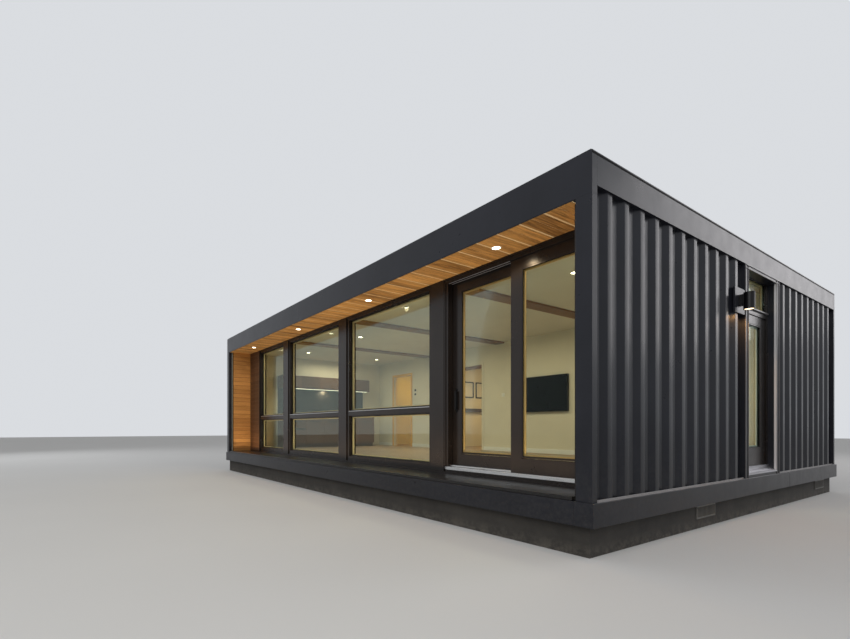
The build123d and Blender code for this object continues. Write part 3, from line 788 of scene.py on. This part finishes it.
# Stepped trims along the head of the glass front, as proudness and levels, and down the patio
# door's jambs, as reach and proudness; the lips of its outer track; the face of its threshold
HEAD_STEPS = ((0.018, (2.976, 2.9985)), (0.008, (2.958, 2.976)))
JAMB_STEPS = ((0.018, 0.014), (0.036, 0.006))
TRACK_LIPS = (0.016, 0.070)
TRACK_GAP = 0.004
THRESHOLD_FACE = 0.042
frames_low, frames_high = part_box("window_frames")
patio_low, patio_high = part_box("patio_threshold")
fixed_low, fixed_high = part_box("fixed_panel")
slide_low, slide_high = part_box("sliding_panel")
front_spans = bays(bay_high.x, patio_high.x, POST_WIDTH)
window_spans = [(start + FRAME_SIDE, end - FRAME_SIDE) for start, end in front_spans[:-1]]
jamb_z = (patio_high.z, HEAD_STEPS[-1][1][0])
boxes("front_trims", [
    *((x, out(frames_low.y, -proud), z) for x in front_spans for proud, z in HEAD_STEPS),
    *((out(x, way * reach), out(patio_low.y, -proud), jamb_z)
      for x, way in ((patio_low.x, 1), (patio_high.x, -1)) for reach, proud in JAMB_STEPS),
], *BRONZE)
track_x = (patio_low.x + FRAME_SIDE, fixed_low.x - TRACK_GAP)
boxes("head_track", [
    (track_x, out(frames_low.y + back, 0.003), out(fixed_high.z, -0.006))
    for back in TRACK_LIPS
], track_and_highlight_paint, "pale_metal", bevel=0.0005)

# Dark lines: the base rail's joint; and painted shade: the shadow gap below the fascia's top lip,
# and the void behind the vents
LINE_DEPTH = 0.0012
RAIL_JOINT = 1.2225
VENT_STARTS = (-1.5995, 2.7275)
VENT_LENGTH = 0.475
VENT_DEPTH = 0.012
VENT_RIM = 0.010
edge_low, edge_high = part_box("fascia_sides")
vent_low, vent_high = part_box("foundation_vents")
joint_z = (rail_low.z + 0.002, rail_high.z - 0.009)
shadow_gap_z = (edge_high.z - 0.028, edge_high.z - 0.010)
vent_z = (vent_low.z + VENT_RIM, vent_high.z - VENT_RIM)
boxes("dark_lines_and_shade", [
    *((around(x, LINE_DEPTH), around(RAIL_JOINT, 0.006), joint_z)
      for x in (rail_low.x, rail_high.x)),
    *((around(x, LINE_DEPTH), (fascia_low.y, back_high.y), shadow_gap_z)
      for x in (edge_low.x, edge_high.x)),
    *((around(x, 0.004), (y + VENT_RIM, y + VENT_LENGTH - VENT_RIM), vent_z)
      for x in (vent_low.x + VENT_DEPTH, vent_high.x - VENT_DEPTH) for y in VENT_STARTS),
], rubber_and_shade_black, "black_metal", bevel=0.0)
boxes("threshold_base", [
    ((patio_low.x, patio_high.x), (patio_low.y - 0.004, patio_low.y),
     (patio_low.z, patio_high.z - THRESHOLD_FACE)),
], *BRONZE)


# Glazing beads and gaskets


def glaze(name, panes, bead, body="cabin"):
    """Frame panes in dark beads outside and lighter ones inside, with gaskets.

    A pane has its place, corners, the glass from its outer face to its inner one, and a depth.
    """
    outer, inner, gaskets = bmesh.new(), bmesh.new(), bmesh.new()
    for place, low, high, (face, back), depth in panes:
        way = 1 if face > back else -1
        rim = [value + BEAD for value in low], [value - BEAD for value in high]
        add_ring(outer, place, low, high, BEAD, (face, face + way * depth))
        add_ring(gaskets, place, *rim, GASKET, (face, face + way * GASKET_DEPTH))
        add_ring(inner, place, low, high, INNER_BEAD, (back, back - way * depth))
    piece(name + "_beads", outer, *BRONZE, body, TRIM_EDGE)
    piece(name + "_inner_beads", inner, bead, "dark_wood", body, TRIM_EDGE)
    piece(name + "_gaskets", gaskets, rubber_and_shade_black, "black_metal", body)


leaf_low, leaf_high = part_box("side_door_leaf")
bar_low, bar_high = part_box("side_door_bar")
head_low, head_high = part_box("side_door_head")
door_glass = around((leaf_low.x + leaf_high.x) / 2, DOOR_GLASS)[::-1]
transom = (side, (bar_low.y, bar_high.z), (bar_high.y, head_low.z), door_glass, TRANSOM_BEAD_DEPTH)
window_glazing = out(frames_low.y + GLASS_IN, GLASS_THICKNESS)
glass_low, glass_high = frames_low.z + FRAME_BOTTOM, frames_high.z - FRAME_TOP
windows = [
    (front, (start, bottom), (end, top), window_glazing, BEAD_DEPTH)
    for start, end in window_spans
    for bottom, top in ((glass_low, TRANSOM[0]), (TRANSOM[1], glass_high))
]
glaze("window", [*windows, transom], bead_pine)
for name, low, high, body in (
    ("fixed", fixed_low, fixed_high, "cabin"),
    ("sliding", slide_low, slide_high, "patio_panel"),
):
    pane_low = (low.x + PANEL_STILE, patio_high.z + PANEL_BOTTOM)
    pane_high = (high.x - PANEL_STILE, fixed_high.z - PANEL_TOP)
    glazing = around((low.y + high.y) / 2, GLASS_THICKNESS)
    glaze(name, [(front, pane_low, pane_high, glazing, PANEL_BEAD_DEPTH)], bead_tan, body)

# Patio door: the wooden edge of its sliding panel, plates behind the pulls, and a riser in the
# track before it; a bright metal line on the windows' transoms, a painted highlight
PULL_PLATE = 0.004
pull_low, pull_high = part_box("patio_pulls")
boxes("sliding_panel_edge", [
    ((slide_high.x, slide_high.x + 0.002), (slide_low.y, slide_high.y),
     (slide_low.z + 0.004, slide_high.z - 0.004)),
], door_wood, "cedar", "patio_panel", bevel=0.0006)
boxes("pull_plates", [
    ((pull_low.x - 0.006, pull_high.x + 0.006), out(face, way * PULL_PLATE),
     (pull_low.z - 0.030, pull_high.z + 0.030))
    for face, way in ((slide_low.y, -1), (slide_high.y, 1))
], *BLACK, "patio_panel", bevel=0.0015)
boxes("track_riser", [
    (track_x, (fixed_low.y + 0.012, slide_low.y - 0.006), out(patio_high.z, 0.016)),
], aluminium, "pale_metal", bevel=0.0015)
boxes("transom_highlight_strips", [
    (x, (frames_low.y - 0.004, frames_low.y + 0.002), around(TRANSOM[1] - 0.005, 0.008))
    for x in window_spans
], transom_highlight_metal, "pale_metal")

# Side door: panes, locks under the levers and a drip bar
LEVER_BACKSET = 0.060
LOCK_LEVEL = 0.905
LOCK_PROFILE = (
    (0.020, 0), (0.020, 0.004), (0.017, 0.006), (0.009, 0.006), (0.009, 0.009), (0.001, 0.009),
)
DRIP_BAR_IN = 0.025
pane_low = (leaf_low.y + DOOR_STILE, leaf_low.z + DOOR_BOTTOM)
pane_high = (leaf_high.y - DOOR_STILE, leaf_high.z - DOOR_TOP)
glaze("door", [(side, pane_low, pane_high, door_glass, DOOR_BEAD_DEPTH)], trim_paint, "side_door")
lock_centre = (leaf_low.y + LEVER_BACKSET, leaf_low.z + LOCK_LEVEL)
bm = bmesh.new()
for face, way in ((leaf_high.x, 1), (leaf_low.x, -1)):
    profile = [(radius, face + way * height) for radius, height in LOCK_PROFILE]
    add_lathe(bm, side, lock_centre, profile, 32)
piece("door_locks", bm, *BLACK, "side_door", bevel=0.0008)
boxes("door_drip_bar", [
    (out(leaf_high.x, 0.012), (leaf_low.y + DRIP_BAR_IN, leaf_high.y - DRIP_BAR_IN),
     (leaf_low.z + 0.010, leaf_low.z + 0.034)),
], *BRONZE, "side_door", bevel=0.003)

# Side door: the trim round its opening, painted lighter than the wall as highlights on its edges,
# a pale strip down the reveal as a painted highlight, the riser below its sill and the sill's
# plate
SURROUND = 0.100
SILL_DROP = 0.045
SILL_PLATE = 0.014
SILL_LAP = 0.006
FRAME_BACK = 0.092
OPENING_BEAD = 0.010
HEAD_MARGIN = 0.002
GROOVE_BACKS = (0.022, 0.048)
GROOVE_WIDTH = 0.006
GROOVE_DEPTH = 0.004
opening = (surround_low.y + SURROUND, surround_high.y - SURROUND)
wall_face = surround_high.x
sill_low, sill_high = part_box("side_door_sill")
sill_nose = sill_high.z - SILL_DROP
plate_under = sill_nose - SILL_PLATE
bead_x = out(wall_face, 0.008)
bead_z = (sill_low.z, head_high.z - HEAD_MARGIN)
upright_edges = ((surround_low.y, 1), (opening[0], -1), (opening[1], 1), (surround_high.y, -1))
boxes("opening_beads_highlight", [
    *((bead_x, out(y, way * OPENING_BEAD), bead_z) for y, way in upright_edges),
    *((bead_x, (surround_low.y, surround_high.y), out(z, way * OPENING_BEAD))
      for z, way in ((head_low.z, 1), (bead_z[1], -1))),
    (out(wall_face - FRAME_BACK, 0.022), (bar_low.y, bar_high.y), out(bar_high.z, -0.020)),
], edge_highlight_steel, "charcoal_steel", bevel=0.003, segments=3)
# A pale strip down the far reveal, a painted highlight
boxes("reveal_strip_highlight", [
    ((wall_face - 0.026, wall_face + 0.001), out(opening[1], -0.002), (sill_nose, head_low.z)),
], strip_highlight_paint, "pale_metal", bevel=0.0006)
boxes("sill_riser", [
    ((sill_low.x, wall_face), opening, (sill_low.z, plate_under)),
], *STEEL, node="side_door_sill")
nose_x = wall_face + SILL_LAP
slope = (sill_high.z - sill_nose) / FRAME_BACK
outline = [(sill_low.x, plate_under), (nose_x, plate_under), (nose_x, sill_nose)]
for back in GROOVE_BACKS:
    level = sill_nose + back * slope
    inner, outer = around(wall_face - back, GROOVE_WIDTH)
    outline += [(outer, level), (outer, level - GROOVE_DEPTH)]
    outline += [(inner, level - GROOVE_DEPTH), (inner, level)]
raised_x = (leaf_high.x + 0.007, leaf_high.x + 0.018)
outline += [(raised_x[1], sill_high.z - 0.002), (raised_x[1], sill_high.z + 0.026)]
outline += [(raised_x[0], sill_high.z + 0.030), (raised_x[0], sill_high.z)]
outline.append((sill_low.x, sill_high.z))
bm = bmesh.new()
add_prism(bm, front, outline, opening)
piece("sill_plate", bm, sill_metal, "pale_metal", bevel=0.001)

# Wall lamp: a round shade open below, its arm and its lens
SHADE_RADIUS = 0.055
SHADE_WALL = 0.008
SHADE_STEPS = 56
LENS_IN = 0.006
ARM_WIDTH = 0.070
ARM_HEIGHT = 0.130
lamp_low, lamp_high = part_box("wall_lamp")
plate_low, plate_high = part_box("lamp_plate")
shade_axis = (lamp_high.x - SHADE_RADIUS, (lamp_low.y + lamp_high.y) / 2)
lens_radius = SHADE_RADIUS - SHADE_WALL
lens_z = lamp_low.z + LENS_IN
turned("lamp_shade", [shade_axis], (
    (lens_radius, lens_z),
    (lens_radius, lamp_low.z + 0.001),
    (SHADE_RADIUS - SHADE_WALL / 2, lamp_low.z),
    (SHADE_RADIUS, lamp_low.z + 0.001),
    (SHADE_RADIUS, lamp_high.z - 0.004),
    (SHADE_RADIUS - 0.001, lamp_high.z - 0.001),
    (SHADE_RADIUS - 0.004, lamp_high.z),
), *BLACK, steps=SHADE_STEPS, node="wall_lamp")
boxes("lamp_arm", [
    ((plate_high.x, shade_axis[0] - SHADE_RADIUS * 0.75), around(shade_axis[1], ARM_WIDTH),
     around((plate_low.z + plate_high.z) / 2, ARM_HEIGHT)),
], *BLACK, bevel=0.003, segments=3)
turned("lamp_diffuser", [shade_axis], (
    (lens_radius, lens_z + 0.006),
    (lens_radius, lens_z),
    (lens_radius * 0.85, lamp_low.z + 0.003),
    (lens_radius * 0.5, lamp_low.z + 0.0015),
    (lens_radius * 0.1, lamp_low.z + 0.001),
), wall_lamp_glow, "lamp_lens", steps=SHADE_STEPS, node="lamp_lens")

# Lamps under the soffit and ceiling: bezels and domed lenses, as radius and drop
LIGHT_RADIUS = 0.055
LENS_RADIUS = 0.042
BEZEL_PROFILE = (
    (LIGHT_RADIUS, 0), (LIGHT_RADIUS, 0.0025), (LIGHT_RADIUS - 0.004, 0.004),
    (LENS_RADIUS + 0.003, 0.004), (LENS_RADIUS, 0.002), (LENS_RADIUS, 0),
)
LENS_PROFILE = (
    (LENS_RADIUS, 0), (LENS_RADIUS, 0.0012), (LENS_RADIUS * 0.6, 0.0022),
    (LENS_RADIUS * 0.2, 0.0026),
)
CEILING_LIGHT_ROWS = (-1.957, 0.163)
lights_low, lights_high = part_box("soffit_downlights")
soffit_level = lights_high.z
soffit_places = [(x, (lights_low.y + lights_high.y) / 2) for x in module_centres]
ceiling_places = [(x, y) for x in module_centres for y in CEILING_LIGHT_ROWS]
for name, places, level, node in (
    ("soffit", soffit_places, soffit_level - BOARD_DROP, "soffit_downlights"),
    ("ceiling", ceiling_places, soffit_level, None),
):
    bezel = [(radius, level - drop) for radius, drop in BEZEL_PROFILE]
    lens = [(radius, level - drop) for radius, drop in LENS_PROFILE]
    turned(name + "_light_trims", places, bezel, trim_paint, "lamp_lens", closed=True, node=node)
    turned(name + "_light_lenses", places, lens, lamp_glow, "lamp_lens")

# Kitchen: carcasses, fronts with handles, worktop, tiles and a light strip
UNIT_COUNT = 5
UNIT_TOP = 0.910
WALL_UNIT_BOTTOM = 1.580
WALL_UNIT_DEPTH = 0.346
TOE_HEIGHT = 0.100
TOE_DEPTH = 0.060
FRONT = 0.018
FRONT_GAP = 0.003
HANDLE_IN = 0.120
HANDLE_PROUD = 0.022
HANDLE_HEIGHT = 0.010
units_low, units_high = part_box("kitchen_units")
units_y = (units_low.y, units_high.y)
unit_top = units_low.z + UNIT_TOP
wall_unit_bottom = units_low.z + WALL_UNIT_BOTTOM
wall_unit_face = units_low.x + WALL_UNIT_DEPTH
unit_face = units_high.x - 0.020
unit_pitch = (units_high.y - units_low.y) / UNIT_COUNT
unit_starts = [units_low.y + i * unit_pitch + FRONT_GAP / 2 for i in range(UNIT_COUNT)]
front_rows = (
    (unit_face, (units_low.z + TOE_HEIGHT, unit_top - 0.170), unit_top - 0.215),
    (unit_face, (unit_top - 0.167, unit_top - 0.004), unit_top - 0.060),
    (wall_unit_face, (wall_unit_bottom, units_high.z), wall_unit_bottom + 0.030),
)
fronts = [
    (x, (start, start + unit_pitch - FRONT_GAP), z, grip)
    for start in unit_starts for x, z, grip in front_rows
]
boxes("kitchen_carcass", [
    ((units_low.x, unit_face - TOE_DEPTH), units_y, out(units_low.z, TOE_HEIGHT)),
    ((units_low.x, unit_face), units_y, (units_low.z + TOE_HEIGHT, unit_top)),
    ((units_low.x, wall_unit_face), units_y, (wall_unit_bottom, units_high.z)),
], unit_wood, "dark_wood", bevel=0.001, node="kitchen_units")
boxes("kitchen_fronts", [
    (out(x, FRONT), y, z) for x, y, z, _ in fronts
], unit_wood, "dark_wood", bevel=0.0015)
boxes("kitchen_handles", [
    (out(x + FRONT, HANDLE_PROUD), (y[0] + HANDLE_IN, y[1] - HANDLE_IN), out(grip, HANDLE_HEIGHT))
    for x, y, _, grip in fronts
], *BLACK, bevel=0.003)
boxes("kitchen_worktop", [
    ((units_low.x, units_high.x), units_y, out(unit_top, WORKTOP)),
], worktop_stone, "black_metal", bevel=0.003)
boxes("kitchen_tiles", [
    (out(units_low.x, 0.008), units_y, (unit_top + WORKTOP, wall_unit_bottom)),
], backsplash, "black_metal", bevel=0.001)
boxes("kitchen_light_strip", [
    ((wall_unit_face - 0.060, wall_unit_face - 0.035),
     (units_low.y + 0.050, units_high.y - 0.050), out(wall_unit_bottom, -0.008)),
], strip_glow, "lamp_lens", bevel=0.002)

# Wall screen: a thin bezel round a dark panel
BEZEL = 0.012
BEZEL_DEPTH = 0.006
screen_low, screen_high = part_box("wall_screen")
bezel_corners = (screen_low.x, screen_low.z), (screen_high.x, screen_high.z)
bm = bmesh.new()
add_box(bm, (screen_low.x, screen_low.y + 0.004, screen_low.z), screen_high)
add_ring(bm, front, *bezel_corners, BEZEL, out(screen_low.y, BEZEL_DEPTH))
piece("screen_case", bm, *BLACK, bevel=0.002, node="wall_screen")
boxes("screen_panel", [
    ((screen_low.x + BEZEL, screen_high.x - BEZEL),
     (screen_low.y + 0.002, screen_low.y + BEZEL_DEPTH),
     (screen_low.z + BEZEL, screen_high.z - BEZEL)),
], screen_finish, "screen", bevel=0.0005)

# Rooms: casings of the doorways and a brown strip under the bedroom doorway's head as painted
# shade, two dark controls, skirting, a light switch, bare picture frames and a shelf
CASING = 0.060
CASING_DEPTH = 0.014
SKIRTING = 0.090
SKIRTING_DEPTH = 0.012
PARTITION = 0.100
CONTROLS_X = (-2.990, -2.930)
CONTROL_LEVELS = ((2.100, 2.160), (1.995, 2.045))
SWITCH_X, SWITCH_Z = 0.090, 1.820
SWITCH_SIZE = 0.080
SHELF_Y = (2.240, 3.140)
PICTURES = ((2.260, 2.670), (2.760, 3.140))
PICTURE_LEVELS = (1.940, 2.400)
PICTURE_EDGE = 0.034
PAPER_IN = 0.010
partition_low, partition_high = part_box("partition_walls")
floor_top = partition_low.z
partition_y = partition_low.y
room_x = (partition_low.x, partition_high.x)


def casing(span, y):
    """Boxes of the side and head casings round a doorway, on one face of its wall."""
    head = ((span[0] - CASING, span[1] + CASING), y, out(DOORWAY_TOP, CASING))
    sides = (out(span[0], -CASING), out(span[1], CASING))
    return [*((x, y, (floor_top, DOORWAY_TOP)) for x in sides), head]


for name, span, material, slot in (
    ("side", SIDE_DOORWAY, amber_wood, "dark_wood"),
    ("bed", BED_DOORWAY, room_paint, "room_lining"),
):
    boxes(name + "_doorway_casings", [
        *casing(span, out(partition_y, -CASING_DEPTH)),
        *casing(span, out(partition_y + PARTITION, CASING_DEPTH)),
    ], material, slot, bevel=0.003)
boxes("bed_doorway_head_shade", [
    (BED_DOORWAY, out(partition_y + 0.060, 0.030), out(DOORWAY_TOP, -0.080)),
], beam_wood, "dark_wood", bevel=0.002)
boxes("wall_controls", [
    (CONTROLS_X, out(partition_y, -0.012), z) for z in CONTROL_LEVELS
], *BLACK, bevel=0.002)
skirting_z = out(floor_top, SKIRTING)
beside_doorways = (
    (room_x[0], SIDE_DOORWAY[0] - CASING),
    (SIDE_DOORWAY[1] + CASING, BED_DOORWAY[0] - CASING),
    (BED_DOORWAY[1] + CASING, room_x[1]),
)
boxes("skirting_boards", [
    *((x, out(partition_y, -SKIRTING_DEPTH), skirting_z) for x in beside_doorways),
    *((out(room_x[1], -SKIRTING_DEPTH), y, skirting_z)
      for y in ((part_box("window_ledge")[1].y, surround_low.y), (surround_high.y, partition_y))),
    (room_x, out(partition_high.y, -SKIRTING_DEPTH), skirting_z),
], trim_paint, "room_lining", bevel=0.003)
boxes("light_switch", [
    (around(SWITCH_X, SWITCH_SIZE), out(partition_y, -0.008), around(SWITCH_Z, SWITCH_SIZE)),
    (around(SWITCH_X, 0.036), out(partition_y - 0.006, -0.006), around(SWITCH_Z, 0.040)),
], trim_paint, "room_lining", bevel=0.002)
divider_face = -MODULE + PARTITION / 2
bm = bmesh.new()
for start, end in PICTURES:
    corners = (start, PICTURE_LEVELS[0]), (end, PICTURE_LEVELS[1])
    add_ring(bm, side, *corners, PICTURE_EDGE, out(divider_face, 0.022))
piece("picture_frames", bm, *BLACK, bevel=0.002)
boxes("picture_papers", [
    (out(divider_face, 0.008), (start + PAPER_IN, end - PAPER_IN),
     (PICTURE_LEVELS[0] + PAPER_IN, PICTURE_LEVELS[1] - PAPER_IN))
    for start, end in PICTURES
], picture_paper, "room_lining", bevel=0.001)
boxes("bedroom_shelf", [
    (out(divider_face, 0.090), SHELF_Y, (1.540, 1.630)),
], dark_wood, "dark_wood", bevel=0.003)

# Camera
camera = bpy.data.objects.new("camera", bpy.data.cameras.new("camera"))
scene.collection.objects.link(camera)
camera.location = CAMERA_PLACE
camera.rotation_euler = (math.radians(90), 0, CAMERA_TURN)
camera.data.sensor_width = SENSOR
camera.data.lens = FOCAL_PIXELS * SENSOR / IMAGE_WIDTH
camera.data.shift_x = (IMAGE_WIDTH / 2 - MIDDLE_PIXEL[0]) / IMAGE_WIDTH
camera.data.shift_y = (MIDDLE_PIXEL[1] - IMAGE_HEIGHT / 2) / IMAGE_WIDTH
scene.camera = camera

# Floor
FLOOR_PALE = (0.70, 0.70, 0.695)
FLOOR_DEEP = (0.66, 0.66, 0.655)
floor_look = Finish("studio_floor", roughness=0.9)
floor_look.set(Base_Color=floor_look.blend(floor_look.noise(0.4), FLOOR_DEEP, FLOOR_PALE))
bm = bmesh.new()
bmesh.ops.create_grid(bm, x_segments=1, y_segments=1, size=60)
studio_floor = mesh_object("studio_floor", bm, floor_look.material)
studio_floor.location = (0, 0, -0.001)
studio_floor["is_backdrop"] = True

# Background: an even light, and a plain tone where it is seen, also in or through glass
SKY_LIGHT = ((1.0, 1.0, 1.0, 1.0), 0.38)
SKY_SEEN = ((0.70, 0.72, 0.75, 1.0), 1.0)
world = bpy.data.worlds.new("studio")
world.use_nodes = True
scene.world = world
sky = world.node_tree
lit = sky.nodes["Background"]
seen = sky.nodes.new("ShaderNodeBackground")
for node, (colour, strength) in ((lit, SKY_LIGHT), (seen, SKY_SEEN)):
    node.inputs["Color"].default_value = colour
    node.inputs["Strength"].default_value = strength
path = sky.nodes.new("ShaderNodeLightPath")
shown = path.outputs["Is Camera Ray"]
for kind in ("Is Glossy Ray", "Is Transmission Ray"):
    most = sky.nodes.new("ShaderNodeMath")
    most.operation = "MAXIMUM"
    sky.links.new(shown, most.inputs[0])
    sky.links.new(path.outputs[kind], most.inputs[1])
    shown = most.outputs[0]
choose = sky.nodes.new("ShaderNodeMixShader")
sky.links.new(shown, choose.inputs[0])
sky.links.new(lit.outputs[0], choose.inputs[1])
sky.links.new(seen.outputs[0], choose.inputs[2])
sky.links.new(choose.outputs[0], sky.nodes["World Output"].inputs["Surface"])

# Lamps
WARM = (1.0, 0.74, 0.45)
ROOM_WARM = (1.0, 0.84, 0.62)
BEDROOM_WARM = (1.0, 0.68, 0.36)
SIDE_ROOM_WARM = (1.0, 0.52, 0.03)
AMBER = (1.0, 0.50, 0.15)
ROOM_LIGHT_Z = 2.9
BACK_ROOM_Y = 2.3


def lamp(name, kind, place, power, colour, turn=(0, 0, 0), hidden=False, **settings):
    """Add a lamp, turned by degrees; a hidden one never shows, not in or through glass either."""
    data = bpy.data.lights.new(name, kind)
    data.energy = power
    data.color = colour
    for key, value in settings.items():
        setattr(data, key, value)
    made = bpy.data.objects.new(name, data)
    made.location = place
    made.rotation_euler = [math.radians(value) for value in turn]
    scene.collection.objects.link(made)
    if hidden:
        made.visible_camera = made.visible_glossy = made.visible_transmission = False
    return made


lamp("key", "AREA", (9.0, -14.0, 9.0), 780, (1.0, 0.99, 0.97), (55, 0, 32), size=9.0)
fill = lamp("fill", "AREA", (-14.0, -10.0, 8.0), 350, (0.96, 0.98, 1.0), (60, 0, -55), size=10.0)
fill.visible_glossy = False
lamp("back_fill", "AREA", (10.0, 15.0, 8.5), 360, (1.0, 0.96, 0.97), (68, 0, 147), size=8.0)
for i, place in enumerate(soffit_places):
    lamp(f"soffit_light_{i}", "SPOT", (*place, soffit_level - 0.035), 13.0, WARM,
         spot_size=2.7, spot_blend=0.5, shadow_soft_size=0.03)
for i, x in enumerate(module_centres):
    lamp(f"room_light_{i}", "AREA", (x, -0.9, ROOM_LIGHT_Z), 28, ROOM_WARM, hidden=True, size=1.4)
lamp("porch_glow", "AREA", (0.0, -3.4, 0.56), 58, WARM, (180, 0, 0), hidden=True,
     shape="RECTANGLE", size=9.0, size_y=0.4)
lamp("bedroom_light", "AREA", (-0.6, BACK_ROOM_Y, ROOM_LIGHT_Z), 44, BEDROOM_WARM,
     hidden=True, size=1.2)
lamp("side_room_light", "AREA", (-3.6, BACK_ROOM_Y, ROOM_LIGHT_Z), 22, SIDE_ROOM_WARM,
     hidden=True, size=0.8)
lamp("worktop_light", "AREA", (-4.62, sum(units_y) / 2, 2.13), 5, ROOM_WARM,
     hidden=True, size=0.12)
lamp("wall_lamp_light", "SPOT", (*shade_axis, lamp_low.z - 0.006), 16, AMBER,
     spot_size=2.7, spot_blend=0.4, shadow_soft_size=0.02)

scene.view_settings.view_transform = "Standard"

low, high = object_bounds()
